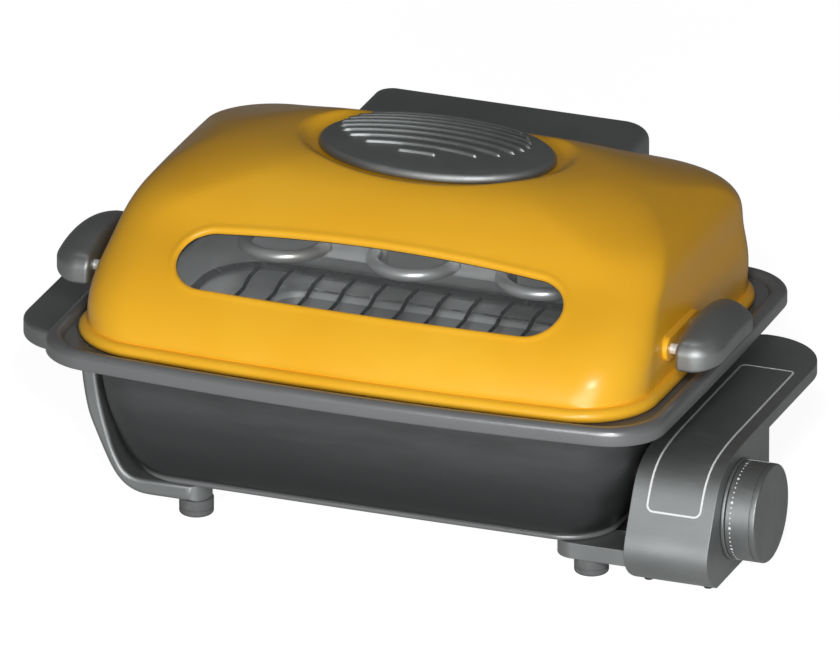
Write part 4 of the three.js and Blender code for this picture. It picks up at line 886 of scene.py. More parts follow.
def dome_rings(turn, inset=0.0, drop=0.0, hole=VENT_HOLE):
    """The outlines of a layer of the lid, lowest first: inset moves a layer in and down, and drop lowers
    its top further. The last ring is the vent's oval, matched to the ring below by direction."""
    plan_tables = [SIDE_SHARES, FRONT_SHARES, BACK_SHARES, CORNER_SHARES, BOW_SHARES]
    side, front, back, corner, bow = (np.array(t, float)[:, None] for t in plan_tables)
    height, lift, lower = (np.array(t, float)[:, None] for t in (Z_SHARES, LIFT_SHARES, DROP_SHARES))
    front, back = LID_DEPTH * front - inset, LID_DEPTH * back - inset
    radius = np.minimum(LID_CORNER * corner - inset, FULLEST_SHARE * (front + back) / 2)
    x, y = outline(turn, LID_HALF * side - inset, front, back, radius, LID_BOW * bow, LID_SIDE_BOW)
    z = LID_BASE + LID_HEIGHT * height - inset * lift - drop * lower
    way = np.arctan2((y[-2] - VENT_Y) / hole[1], x[-2] / hole[0])
    x[-1], y[-1] = hole[0] * np.cos(way), VENT_Y + hole[1] * np.sin(way)
    return at_height(x, y, z)


plain_rings = dome_rings(PLAN)
CLIMB_KNOTS = np.r_[0, np.cumsum(np.linalg.norm(np.diff(plain_rings, axis=0), axis=2).mean(1))]


def dome(turn, climb, **layer):
    """Points of the dome at matching arrays of turn and climb, climb being the mean way up in mm."""
    turn, climb = np.broadcast_arrays(turn, climb)
    weights = spline_weights(CLIMB_KNOTS, climb.ravel())
    rings = dome_rings(turn.ravel(), **layer)
    return np.einsum("pk,kpd->pd", weights, rings).reshape(*turn.shape, 3)


print("way up the dome", round(CLIMB_KNOTS[-1], 1), "mm")

# %% [markdown]
# The window is a stadium cut square to the lid's slope. To give its edge a clean rolled lip, the mesh must
# run along the stadium. So a rectangle of the dome's grid is left out, and a patch fills it: its outer loop
# is the grid's own edge, its inner loops are stadiums with a slight bulge. Newton's method finds where each
# stadium point lies.

# %% The window's place on the dome
WINDOW_HALF, WINDOW_RADIUS = 120.0, 20.5
SPINE = WINDOW_HALF - WINDOW_RADIUS
BULGE_ABOVE, BULGE_BELOW = 4.2, 2.2
WINDOW_CENTRE = np.array([0.0, -81.15, 163.98])
WINDOW_TILT = math.radians(32.03)
WINDOW_UP = np.array([0.0, math.cos(WINDOW_TILT), math.sin(WINDOW_TILT)])
WINDOW_OUT = np.array([0.0, -math.sin(WINDOW_TILT), math.cos(WINDOW_TILT)])
PATCH_REACH = 18.0
GRID_ROWS = 96
CLIMB_START = 1.6


def on_window(points):
    """Across and up the slope, measured in the window's plane."""
    return np.stack([points[..., 0], (points - WINDOW_CENTRE) @ WINDOW_UP], -1)


def find_on_dome(target, turn, climb, **layer):
    """Newton's method: the miss in the window's plane, divided by the slopes along turn and climb, says how
    far to move. A dozen rounds settle every point at once."""
    nudge_turn, nudge_climb = 1e-4, 1e-2
    for _ in range(12):
        here = on_window(dome(turn, climb, **layer))
        along = (on_window(dome(turn + nudge_turn, climb, **layer)) - here) / nudge_turn
        rise = (on_window(dome(turn, climb + nudge_climb, **layer)) - here) / nudge_climb
        miss = target - here
        scale = along[..., 0] * rise[..., 1] - along[..., 1] * rise[..., 0]
        turn = turn + (miss[..., 0] * rise[..., 1] - miss[..., 1] * rise[..., 0]) / scale
        climb = climb + (along[..., 0] * miss[..., 1] - along[..., 1] * miss[..., 0]) / scale
    return turn, climb


climb_rows = np.linspace(CLIMB_START, CLIMB_KNOTS[-1], GRID_ROWS)
middle_column = on_window(dome(2 + ARC_SHARE + (1 - ARC_SHARE) / 2, climb_rows))[:, 1]
row_low = int(np.searchsorted(middle_column, -WINDOW_RADIUS - PATCH_REACH)) - 1
row_high = int(np.searchsorted(middle_column, WINDOW_RADIUS + PATCH_REACH))
col_low = int(np.searchsorted(PLAN, 2 + ARC_SHARE * 0.55))
col_high = int(np.searchsorted(PLAN, 3 + ARC_SHARE * 0.45))
print("window patch: rows", row_low, row_high, "columns", col_low, col_high)


def window_loop():
    """Turn and climb of the grid nodes round the rectangle, anticlockwise from its lower left."""
    columns, rows = np.arange(col_low, col_high + 1), np.arange(row_low, row_high + 1)
    column, row = PLAN[columns], climb_rows[rows[1:-1]]
    turn = np.r_[column, np.full(len(row), column[-1]), column[::-1], np.full(len(row), column[0])]
    low, high = (np.full(len(column), climb_rows[i]) for i in (row_low, row_high))
    return turn, np.r_[low, row, high, row[::-1]]


loop_turn, loop_climb = window_loop()


def spokes(**layer):
    """For each node of the loop: the nearest point of the stadium's spine, and the way out from it."""
    across = on_window(dome(loop_turn, loop_climb, **layer))
    spine = np.stack([np.clip(across[:, 0], -SPINE, SPINE), np.zeros(len(across))], -1)
    return spine, unit(across - spine)


def window_guess(target):
    """Turn and climb near points of the window's plane, for Newton's method to start from."""
    share = target[..., 0] / (2 * WINDOW_HALF * 1.1) + 0.5
    climb = np.interp(target[..., 1], middle_column, climb_rows)
    return 2 + ARC_SHARE + (1 - ARC_SHARE) * share, climb


def stadium_rows(distances, **layer):
    """Turn and climb of loops at set distances from the window's spine, solved on the dome. The long edges
    bow out a little: bulge = height (1 - (x / reach)^2)."""
    spine, way = spokes(**layer)
    share = 1 - (spine[:, 0] / SPINE) ** 2
    bulge = share * np.where(way[:, 1] > 0, BULGE_ABOVE, BULGE_BELOW)
    target = spine + way * (np.asarray(distances, float)[:, None] + bulge)[..., None]
    return find_on_dome(target, *window_guess(target), **layer)


def window_patch(distances, heights, bridge=6, **layer):
    """Points of the patch from the hole outwards: stadium loops raised by their heights, then loops that
    slide to the grid's own edge in equal steps of turn and climb."""
    turn, climb = stadium_rows(distances, **layer)
    share = (np.arange(bridge) + 1)[:, None] / bridge
    turn = np.concatenate([turn, turn[-1] + (loop_turn - turn[-1]) * share])
    climb = np.concatenate([climb, climb[-1] + (loop_climb - climb[-1]) * share])
    rise = np.r_[heights, np.zeros(bridge)][:, None, None]
    return dome(turn, climb, **layer) + rise * WINDOW_OUT


def grid_faces():
    """Faces of the dome's grid with the window's rectangle left out."""
    index = np.arange(GRID_ROWS * len(PLAN)).reshape(GRID_ROWS, len(PLAN))
    low, high = index[:-1], index[1:]
    faces = np.stack([low, np.roll(low, -1, 1), np.roll(high, -1, 1), high], -1)
    keep = np.ones(faces.shape[:2], bool)
    keep[row_low:row_high, col_low:col_high] = False
    return faces[keep].tolist()


# %% [markdown]
# The lid's skin is then four areas that share their edge points: the rolled bead at the foot, the grid, the
# window patch with its lip, and the pressed oval round the vent. The bead is half an oval standing out from
# the wall. The lip is a low wave that turns down into the hole.

# %% Lid shell
LID_WALL, BEAD_WIDTH, BEAD_HEIGHT = 1.4, 5.0, 8.5
RECESS_HALF, RECESS_DEPTH, RECESS_DROP, RECESS_SLOPE = 86.0, 56.0, 6.5, 10.0
RECESS_FLOOR = LID_BASE + LID_HEIGHT - RECESS_DROP
LIP_DISTANCES = np.array([0, 0, 0.06, 0.25, 0.6, 1.1, 1.7, 2.4, 3.1, 3.8, 4.5, 5.3, 6.2, 7.2])
LIP_HEIGHTS = np.array([-2.6, -2.0, -1.4, -0.8, -0.25, 0.15, 0.4, 0.5, 0.46, 0.32, 0.18, 0.07, 0.02, 0])


def press_recess(points):
    """Lowers points inside the vent's oval to its floor: depth = (z - floor) smoothstep(distance / slope)."""
    x, y = points[..., 0], points[..., 1] - VENT_Y
    ratio = np.sqrt((x / RECESS_HALF) ** 2 + (y / RECESS_DEPTH) ** 2) + 1e-9
    inside = np.clip((1 / ratio - 1) * np.hypot(x, y) / RECESS_SLOPE, 0, 1)
    ease = inside * inside * (3 - 2 * inside)
    points[..., 2] -= np.maximum(points[..., 2] - RECESS_FLOOR, 0) * ease
    return points


bead_angle = np.linspace(-np.pi / 2, np.pi / 2, 15)
bead_out = 0.4 + (BEAD_WIDTH - 0.4) * np.cos(bead_angle)
bead_z = LID_BASE + BEAD_HEIGHT / 2 * (1 + np.sin(bead_angle))
foot_out = np.r_[-LID_WALL, bead_out, -0.35, 0.0]
foot_z = np.r_[LID_BASE + 0.3, bead_z, LID_BASE + BEAD_HEIGHT + [0.2, 0.9]]
foot_rings = lid_foot(-foot_out[:, None], foot_z[:, None])


def layer_skin(name, foot, grid, window):
    """A layer of the lid from its three areas: the rows at its foot, the grid, and the window's patch."""
    areas = skin(np.concatenate([foot, grid[:1]])), (grid.reshape(-1, 3), grid_faces()), skin(window[::-1])
    return solid(name, *areas, closed=False)


grid = press_recess(dome(PLAN[None], climb_rows[:, None]))
window_rings = window_patch(WINDOW_RADIUS + LIP_DISTANCES, LIP_HEIGHTS)
settle(thicken(layer_skin("lid_skin", foot_rings, grid, window_rings), LID_WALL), YELLOW, "lid", "lid_shell")
print("lid faces", made_faces[-1])

# %% [markdown]
# Behind the window lie a rubber gasket, a thick pane and a steel liner that clamps them. All three follow
# the dome at their own depth, so they come from the same functions with an inset. The pane is a grid of
# chords across the stadium, which closes to one point at each end.

# %% Gasket, pane and liner
GASKET_INSET, GASKET_GAUGE, GASKET_WIDTH = 1.65, 1.5, 6.0
GLASS_INSET, GLASS_GAUGE, PANE_MARGIN = 3.4, 3.0, 8.0
LINER_INSET, LINER_DROP, LINER_OVERLAP, LINER_HOLE = 6.65, 5.0, 5.5, (55.0, 31.0)


def window_chords(radius, columns=130, rows=22):
    """Points of a stadium as chords: at each x the half height is sqrt(r^2 - over^2), where over is how far
    x lies beyond the straight part."""
    x = np.cos(np.linspace(0, np.pi, columns)) * (SPINE + radius)
    half = np.sqrt(np.maximum(radius**2 - np.maximum(np.abs(x) - SPINE, 0) ** 2, 0))
    across = np.linspace(-1, 1, rows)
    return np.stack(np.broadcast_arrays(x[:, None], half[:, None] * across), -1)


gasket_turn, gasket_climb = stadium_rows(WINDOW_RADIUS + np.linspace(0, GASKET_WIDTH, 6), inset=GASKET_INSET)
gasket_rings = dome(gasket_turn, gasket_climb, inset=GASKET_INSET)
gasket = solid("gasket", skin(gasket_rings[::-1]), closed=False)
settle(thicken(gasket, GASKET_GAUGE), GASKET, "lid", "window_gasket")
chords = window_chords(WINDOW_RADIUS + PANE_MARGIN)
pane_turn, pane_climb = find_on_dome(chords, *window_guess(chords), inset=GLASS_INSET)
pane = solid("pane", skin(dome(pane_turn, pane_climb, inset=GLASS_INSET), wrap=False), closed=False)
settle(thicken(pane, GLASS_GAUGE), GLASS, "lid", "window_glass")
liner_layer = {"inset": LINER_INSET, "drop": LINER_DROP, "hole": LINER_HOLE}
liner_base = span("lid_liner")[0][2]
liner_grid = dome(PLAN[None], np.r_[0.0, climb_rows[1:]][:, None], **liner_layer)
liner_skirt = np.stack([lid_foot(GASKET_INSET, z) for z in (liner_base, liner_base + 1.3, liner_base + 2.6)])
liner_turned_in = WINDOW_RADIUS + LINER_OVERLAP + np.array([0, 0.4, 1.2, 2.6, 4.6])
liner_window = window_patch(liner_turned_in, np.array([-0.7, -0.2, 0, 0, 0]), **liner_layer)
liner = layer_skin("liner", liner_skirt, liner_grid, liner_window)
settle(thicken(liner, SHEET_GAUGE), SHEET, "lid", "lid_liner")
print("pane points", chords.size // 2)

# %% [markdown]
# Raised pads on both ends of the lid take the handle's posts. A handle is a D-shaped grip that arches up in
# its middle: its inner side is straight, its outer side bows out between wide corners, and its top is a crown
# whose ridge runs near the inner side and falls away outwards. Each ring of its skin shrinks towards that
# ridge, so none of them folds, and the last ones close on its middle, so that no wide face is left to crease.


# %% Pads, handles and posts
def stacked(axis, plan, profile, steps=10):
    """One rounded outline for each (inset, place along the axis) of a profile, closed at both ends. plan is
    the two spans and the four corner radii at no inset."""
    a0, a1, b0, b1, radii = plan
    rings = [
        lay(axis, *rounded(a0 + i, a1 - i, b0 + i, b1 - i, [max(r - i, 0.04) for r in radii], steps).T, at)
        for i, at in profile
    ]
    return skin(rings, first=True, last=True)


SIDES = ("left", -1), ("right", 1)
LID_END, HANDLE_GAP, HANDLE_REACH, HANDLE_HALF_SPAN, HANDLE_Y = 176.0, 7.5, 26.5, 39.5, -22.5
HANDLE_CORNER, HANDLE_INNER_CORNER, HANDLE_CROWN, HANDLE_BOW = 17.0, 3.0, 3.0, 2.5
RIDGE_OUT, RIDGE_END_SHARE, RIDGE_END_INSET, OUTER_FALL, ARCH_TOP, ARCH_UNDER = 8.0, 0.35, 4, 5.5, 8.0, 5.0
CROWN_START, CLOSING_RINGS = 4.2, 7
PAD_MARGIN, PAD_HALF, PAD_RISE, POST_DEEP, POST_EDGE, POST_IN_GRIP = 8, 7.5, 6.8, 4.4, 0.4, 8.75
POST_Z, POST_RADIUS, POST_YS = LID_BASE + 26, 3.25, {"front": -51.0, "rear": -9.0}
handle_low, handle_high = span("lid_handle_right")
grip_bottom, grip_top = handle_low[2], handle_high[2] - HANDLE_CROWN
grip_side = fillet([(10, grip_bottom, 0), (0, grip_bottom, 2.6), (0, grip_top - CROWN_START, 0)], 6)
grip_crown = [(0, -CROWN_START), (0.25, -2.4), (1.2, -0.7), (3.2, 0.8), (7, 2.1), (12, 2.8)]
grip_crown += [(17.6, HANDLE_CROWN)]
grip_profile = np.concatenate([grip_side, smooth_line(grip_crown, 22)[1:] + [0, grip_top]])


def grip():
    """Rings that close on the ridge: out = ridge + (out0 - ridge) (1 - inset / reach), and the same along y
    with a smaller inset. The top falls by fall * s^2 at a share s of the way from the ridge to the outside,
    and the whole grip arches up by arch * (1 - (y / half)^2)."""
    corners = [HANDLE_INNER_CORNER, HANDLE_CORNER, HANDLE_CORNER, HANDLE_INNER_CORNER]
    plan = spaced(rounded(0, HANDLE_REACH, -HANDLE_HALF_SPAN, HANDLE_HALF_SPAN, corners, 14), 2.0)
    bow = HANDLE_BOW * (plan[:, 1] / HANDLE_HALF_SPAN) ** 2 * plan[:, 0] / HANDLE_REACH
    inset, z = grip_profile[:, :1], grip_profile[:, 1:]
    wide = HANDLE_REACH - RIDGE_OUT
    along_inset = np.minimum(inset, RIDGE_END_INSET + RIDGE_END_SHARE * (inset - RIDGE_END_INSET))
    out = RIDGE_OUT + (plan[:, 0] - bow - RIDGE_OUT) * (1 - inset / wide)
    y = plan[:, 1] * (1 - along_inset / HANDLE_HALF_SPAN)
    closing = np.linspace(0.85, 0.01, CLOSING_RINGS)[:, None]
    out = np.concatenate([out, RIDGE_OUT + (out[-1] - RIDGE_OUT) * closing])
    y, z = np.concatenate([y, y[-1] * closing]), np.concatenate([z, np.full_like(closing, z[-1, 0])])
    half_way = (grip_bottom + grip_top) / 2
    upper = np.clip((z - half_way) / (grip_top - half_way), 0, 1)
    fall = OUTER_FALL * upper * np.clip((out - RIDGE_OUT) / wide, 0, 1) ** 2
    arch = (ARCH_UNDER + (ARCH_TOP - ARCH_UNDER) * upper) * (1 - (y / HANDLE_HALF_SPAN) ** 2)
    rings = np.stack([out + LID_END + HANDLE_GAP, y + HANDLE_Y, z - fall + arch], -1)
    return skin(rings, first=True, last=True)


pad_profile = fillet([(-1.5, -2, 0), (0, -0.4, 0.8), (0, 2, 0.9), (PAD_RISE, 2, 0)], 6) + [0, LID_END]
pad_span = POST_YS["front"] - PAD_MARGIN, POST_YS["rear"] + PAD_MARGIN
pad_plan = *pad_span, POST_Z - PAD_HALF, POST_Z + PAD_HALF, [PAD_HALF] * 4
start, end = LID_END - POST_DEEP, LID_END + HANDLE_GAP + POST_IN_GRIP
post_line = [(0, start), (POST_RADIUS - POST_EDGE, start), (POST_RADIUS, start + POST_EDGE)]
post_line += [(POST_RADIUS, end), (0, end)]
for side, sign in SIDES:
    handle = solid(f"handle_{side}", mirrored(grip(), sign))
    settle(handle, PLASTIC, "lid", f"lid_handle_{side}")
    settle(solid(f"lid_pad_{side}", mirrored(stacked("x", pad_plan, pad_profile), sign)), YELLOW, "lid")
    for place, y in POST_YS.items():
        post = solid(f"post_{place}_{side}", mirrored(turned("x", post_line, (y, POST_Z), 40), sign))
        settle(post, POLISHED, "lid", f"handle_post_{place}_{side}")
print("grip rows", len(grip_profile))

# %% [markdown]
# The vent cap is a shallow oval dome with nine raised ribs. Its skin is a stack of ovals from the middle out
# to the rolled edge and back underneath. Each rib is a bar bent along an arc and laid on the dome's height.
# Its section is steeper on one side, and it sinks into the surface at both ends.

# %% Vent cap
CAP_HALF, CAP_DEPTH, CAP_WALL, CAP_ROLL, CAP_ROLL_LOW = 73.0, 45.0, 2.0, 0.94, 1.2
CAP_SHARES = [0, 0.2, 0.4, 0.6, 0.78, 0.88, CAP_ROLL]
CAP_HEIGHTS = [7.7, 7.65, 7.48, 7.12, 6.58, 6.05, 5.45]
CAP_FOOT = [(1.0, 0.6), (0.994, 0.1), (0.98, 0)]
RIB_WIDTH, RIB_RISE, RIB_PITCH, RIB_FIRST, RIB_SHIFT, RIB_BEND = 2.8, 2.1, 6.4, -22.0, 5.0, 160.0
RIB_SINK, RIB_BLUNTNESS, RIB_BURIED = 1.8, 0.4, 0.15
RIB_SHARES = [0.17, 0.49, 0.66, 0.75, 0.8, 0.82, 0.8, 0.75, 0.66]
RIB_ACROSS = np.array([-1.05, -1, -0.8, -0.45, 0.3, 0.7, 0.85, 0.9])
RIB_UP = np.array([-0.6, -0.3, 0.2, 0.4, 0.42, 0.2, -0.3, -0.6])
cap_base = span("vent_cap")[0][2]
cap_top = smooth_line(np.column_stack([CAP_SHARES, CAP_HEIGHTS]), 24)
roll_turn = np.linspace(0, np.pi / 2, 13)[1:]
roll_out = CAP_ROLL + (1 - CAP_ROLL) * np.sin(roll_turn)
roll_z = CAP_ROLL_LOW + (CAP_HEIGHTS[-1] - CAP_ROLL_LOW) * np.cos(roll_turn)
cap_roll = np.concatenate([np.column_stack([roll_out, roll_z]), CAP_FOOT])


def on_cap(x, y):
    """Height of the cap at a point, from the share of the way from its middle to its edge."""
    share = np.sqrt((x / CAP_HALF) ** 2 + ((y - VENT_Y) / CAP_DEPTH) ** 2)
    return cap_base + np.interp(share, cap_top[:, 0], cap_top[:, 1])


def cap_ring(share, z, wall=0.0):
    """An oval at a share of the cap's size, drawn in by the wall."""
    return oval(max(CAP_HALF * share - wall, 0), max(CAP_DEPTH * share - wall, 0), VENT_Y, cap_base + z, 200)


cap_rings = [cap_ring(share, z) for share, z in (*cap_top, *cap_roll)]
cap_rings += [cap_ring(share, z, CAP_WALL) for share, z in ((1.0, 0.1), (1.0, 2.2), (0.93, 3.2))]
cap_rings += [cap_ring(share, z) for share, z in ((0.75, 3.9), (0.4, 4.4), (0, 4.45))]
rib_parts = []
for i, share in enumerate(RIB_SHARES):
    half = share * CAP_HALF
    angle = np.linspace(-1, 1, 61) * math.asin(half / RIB_BEND)
    centre = VENT_Y + RIB_FIRST + RIB_PITCH * i - RIB_BEND * math.cos(angle[-1])
    x, y = RIB_BEND * np.sin(angle) - RIB_SHIFT, centre + RIB_BEND * np.cos(angle)
    sink = np.clip((half - np.abs(x + RIB_SHIFT)) / RIB_SINK, 0, 1) ** RIB_BLUNTNESS
    wide = RIB_WIDTH / 2 * (0.25 + 0.75 * sink)[:, None] * RIB_ACROSS
    across = np.stack([np.sin(angle), np.cos(angle)], -1)
    spread_x, spread_y = x[:, None] + across[:, :1] * wide, y[:, None] + across[:, 1:] * wide
    rise = (RIB_UP + 0.5) * (RIB_RISE + 0.1) * sink[:, None] - RIB_BURIED
    rings = np.stack([spread_x, spread_y, on_cap(spread_x, spread_y) + rise], -1)
    rib_parts.append(skin(rings, first=True, last=True))
settle(solid("cap", skin(cap_rings), *rib_parts), PLASTIC, "vent_cap", "vent_cap")
print("ribs", len(rib_parts))

# %% [markdown]
# Under the cap a slotted plate closes the lid's opening. It is an oval plate, and each slot is a prism with
# round ends that a Boolean cuts out of it.

# %% Filter plate
FILTER_HALF, FILTER_DEPTH, FILTER_GAUGE, FILTER_SLOTS, FILTER_PITCH = 58.0, 34.0, 1.2, 7, 13.0
SLOT_HALF, SLOT_SHARE = 2.5, 0.62
filter_line = fillet([(3, 0, 0), (0, 0, 0.3), (0, FILTER_GAUGE, 0.5), (3, FILTER_GAUGE, 0)], 4)
filter_rings = [oval(FILTER_HALF - i, FILTER_DEPTH - i, VENT_Y, cap_base + z) for i, z in filter_line]
filter_plate = solid("filter", skin(filter_rings, first=True, last=True))
for x in (np.arange(FILTER_SLOTS) - (FILTER_SLOTS - 1) / 2) * FILTER_PITCH:
    half = FILTER_DEPTH * SLOT_SHARE * math.sqrt(1 - (x / FILTER_HALF) ** 2)
    slot_span = x - SLOT_HALF, x + SLOT_HALF, VENT_Y - half, VENT_Y + half
    slot_shape = rounded(*slot_span, [SLOT_HALF - 0.02] * 4, 6)
    cut(filter_plate, prism("z", slot_shape, cap_base - 1, cap_base + 3))
settle(filter_plate, SHEET, "lid", "vent_filter")
print("slots", FILTER_SLOTS)

# %% [markdown]
# Both heaters are steel-sheathed tubes bent in one plane. The upper one hangs in the lid and makes three
# bends towards the window, which show through the glass. Its path is a list of corners with bend radii.
# Straps carry both. They are plain bent strips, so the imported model's own shapes are good enough for them.

# %% Heaters and the straps that carry them
TUBE, UPPER_Z, LOWER_Z = 4.0, LID_BASE + 38, PAN_FLOOR_TOP + 22
LOOP_PITCH, LOOP_RADIUS, LOOP_FRONT, LOOP_BACK, LOOP_BEND = 81, 24.5, -29, 56, 15.7
TAIL_RUN, TAIL_BEND, TAIL_X, TAIL_END = 22, 12, 44, 140
LOWER_END, LOWER_LEFT, LOWER_RIGHT, LOWER_HALF, LOWER_RETURN, LOWER_BEND = 179, -114, 138, 45, -15, 44
upper_corners = [(-TAIL_X, TAIL_END, 0), (-TAIL_X, LOOP_BACK + TAIL_RUN, TAIL_BEND)]
for i, x in enumerate([loop * LOOP_PITCH + s * LOOP_RADIUS for loop in (-1, 0, 1) for s in (-1, 1)]):
    back = (x, LOOP_BACK + TAIL_RUN, TAIL_BEND) if i in (0, 5) else (x, LOOP_BACK, LOOP_BEND)
    front = (x, LOOP_FRONT, LOOP_RADIUS * 0.98)
    upper_corners += [front, back] if i % 2 else [back, front]
upper_corners += [(TAIL_X, LOOP_BACK + TAIL_RUN, TAIL_BEND), (TAIL_X, TAIL_END, 0)]
upper = solid("heater_upper", bar(flat_path(upper_corners, UPPER_Z, 14), UP, TUBE, sides=24))
settle(upper, SHEATH, "lid", "upper_heater")
lower_corners = [(LOWER_END, -LOWER_HALF, 0), (LOWER_LEFT, -LOWER_HALF, LOWER_BEND)]
lower_corners += [(LOWER_LEFT, LOWER_HALF, LOWER_BEND), (LOWER_RIGHT, LOWER_HALF, TAIL_BEND)]
lower_corners += [(LOWER_RIGHT, LOWER_RETURN, TAIL_BEND), (LOWER_END, LOWER_RETURN, 0)]
lower = solid("heater_lower", bar(flat_path(lower_corners, LOWER_Z, 16), UP, TUBE, sides=24))
settle(lower, SHEATH, "stand", "lower_heater")


def clean_copy(node, name, finish, body, radius):
    """A plate or block whose CAD shape is right: its loose triangles are merged into whole faces, and its
    edges are eased."""
    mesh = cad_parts[node].data.copy()
    work = bmesh.new()
    work.from_mesh(mesh)
    bmesh.ops.remove_doubles(work, verts=work.verts, dist=MERGE)
    bmesh.ops.dissolve_limit(work, angle_limit=math.radians(1), verts=work.verts, edges=work.edges)
    work.to_mesh(mesh)
    work.free()
    piece = bpy.data.objects.new(name, mesh)
    bpy.context.scene.collection.objects.link(piece)
    return settle(round_edges(piece, radius, 2, 50), finish, body, node)


for side, _ in SIDES:
    clean_copy(f"heater_hanger_{side}", f"hanger_{side}", SHEET, "lid", 0.25)
    clean_copy(f"lower_heater_bracket_{side}", f"bracket_{side}", SHEET, "stand", 0.25)
print("heater corners", len(upper_corners), len(lower_corners))

# %% [markdown]
# The rear housing covers the heater's tails. It is a block with a rounded roof whose front is cut to the
# dome's own shape, so it sits on the lid without a gap. A plate closes it from behind.

# %% Rear housing and its cover
REAR_LEFT, REAR_RIGHT, REAR_FRONT, REAR_BACK, REAR_CORNER, REAR_ROUND = -84.0, 90.0, 108.0, 156.0, 8.0, 12.0
REAR_CROWN, REAR_WALL, COVER_CORNER, COVER_GAP, COVER_DEEP, DOME_GAP = 4.4, 3, 4, 0.3, 2.5, 0.25
rear_bottom, rear_roof = span("rear_housing")[0][2], span("rear_housing")[1][2] + REAR_CROWN
cover_low, cover_high = span("rear_housing_cover")


def dome_block(grow, floor):
    """The whole space under the dome, grown by a little, as a solid to cut with."""
    plan = turns(4, 30, 10)
    climb = np.linspace(0, CLIMB_KNOTS[-1], 40)
    shape = dome(plan[None], climb[:, None], inset=-grow)
    return skin(np.concatenate([lid_foot(-grow, floor, plan)[None], shape]), first=True, last=True)


def rear_ring(inset, z):
    """The housing's plan, drawn in on all sides but the front."""
    spans = REAR_LEFT + inset, REAR_RIGHT - inset, REAR_FRONT, REAR_BACK - inset
    return at_height(*rounded(*spans, [0, 0, REAR_CORNER, REAR_CORNER], 10).T, z)


rear_corners = [(1, rear_bottom, 0), (0, rear_bottom, 0.8), (0, rear_roof, REAR_ROUND), (16, rear_roof, 0)]
rear_line = fillet(rear_corners, 10)
rear = solid("rear_block", skin([rear_ring(i, z) for i, z in rear_line], first=True, last=True))
cut(rear, dome_block(DOME_GAP, LID_BASE - 5))
hollow = solid("hollow", block(cover_low[0], cover_high[0], 100, 150, rear_bottom + REAR_WALL, cover_high[2]))
cut(hollow, dome_block(REAR_WALL + DOME_GAP, LID_BASE - 5))
combine(rear, hollow, "DIFFERENCE")
cover_span = cover_low[0], cover_high[0], cover_low[2], cover_high[2]
opening = rounded(*(cover_span + COVER_GAP * np.array([-1, 1, -1, 1])), [COVER_CORNER + COVER_GAP] * 4)
cut(rear, prism("y", opening, 148, 158))
settle(rear, PLASTIC, "lid", "rear_housing")
cover_line = fillet([(2, COVER_DEEP, 0), (0, COVER_DEEP, 0.2), (0, 0, 0.7), (2, 0, 0)], 4)
cover_profile = [(inset, REAR_BACK - y) for inset, y in cover_line]
rear_cover = solid("rear_cover", stacked("y", (*cover_span, [COVER_CORNER] * 4), cover_profile))
settle(rear_cover, PLASTIC, "lid", "rear_housing_cover")
print("rear housing", rear_bottom, "to", rear_roof)

# %% [markdown]
# The hinge is in two halves. Brackets screwed to the pan's rim end in a knuckle, arms under the rear housing
# end in another, and a headed pin joins them. Screw heads are turned with a domed top and get a cross recess.

# %% Hinges, pins and screws
HINGE_X, HINGE_Y, HINGE_Z, PIN, KNUCKLE, HINGE_HALF, ARM = 60.0, 149.0, RIM_TOP - 6.5, 3.0, 6.0, 5.0, 4.0
ARM_X = HINGE_X - HINGE_HALF - 0.25 - ARM
BRACKET_FRONT, BRACKET_HALF, FLANGE_BACK, FLANGE_END, BORE = 132, 4, 144, 75, 3.25
ARM_HALF, ARM_FOOT_LONG, ARM_FOOT_THICK = 6, 13, 2.5
SCREW, HEAD, HEAD_HEIGHT, RECESS_SHAPE, RECESS_DEEP = 1.5, 3.0, 2.0, (0.42, 1.9), 0.9
ARM_SCREW_IN, ARM_SCREW_LONG, RIM_SCREW_X, RIM_SCREW_FACE, RIM_SCREW_LONG = 4.5, 7.4, 71, 146.25, 10.2
PIN_LINE = [(0, 49.55), (2.6, 49.55), (PIN, 50), (PIN, 65.25), (4.3, 65.25), (4.6, 65.6), (4.6, 66.5)]
PIN_LINE += [(4.1, 67.1), (0, 67.25)]


def screw(name, axis, centre, face, length, body, node, turn=1, finish=SHEET):
    """A domed head whose outer face lies at a place on the axis, with a shank behind it and a cross recess
    in front; turn 1 looks down the axis and -1 up it."""
    line = [(0, 0), (1.6, 0.03), (2.5, 0.25), (HEAD, 0.9), (HEAD, HEAD_HEIGHT), (SCREW, HEAD_HEIGHT)]
    line += [(SCREW, length - 1), (0.6, length), (0, length)]
    piece = solid(name, turned(axis, [(r, face + turn * a) for r, a in line], centre, 32))
    near, far = sorted((face - turn, face + turn * RECESS_DEEP))
    for wide, high in (RECESS_SHAPE, RECESS_SHAPE[::-1]):
        a, b = centre
        section = [(a - wide, b - high), (a + wide, b - high), (a + wide, b + high), (a - wide, b + high)]
        cut(piece, prism(axis, section, near, far))
    return settle(piece, finish, body, node)


rim_tool = skin([pan_ring(-0.25, RIM_BOTTOM - 9), pan_ring(-0.25, RIM_TOP + 9)], first=True, last=True)
arm_foot = rear_bottom - 0.25
t = np.linspace(0, 2 * np.pi, 49)[:-1]
knuckle_round = np.stack([HINGE_Y + KNUCKLE * np.cos(t), HINGE_Z + KNUCKLE * np.sin(t)], -1)
hinge_centre = HINGE_Y, HINGE_Z
bore = rod("x", BORE, -90, 90, hinge_centre, 32)
bracket_span, arm_span = (HINGE_X - HINGE_HALF, HINGE_X + HINGE_HALF), (ARM_X, ARM_X + ARM)
bracket_z, arm_y = (HINGE_Z - BRACKET_HALF, HINGE_Z + BRACKET_HALF), (HINGE_Y - ARM_HALF, HINGE_Y + ARM_HALF)
flange_shape = rounded(bracket_span[0], FLANGE_END, *bracket_z, [0, 3, 3, 0])
foot_shape = rounded(arm_span[1] - ARM_FOOT_LONG, arm_span[1], *arm_y, [3, 0, 0, 3])
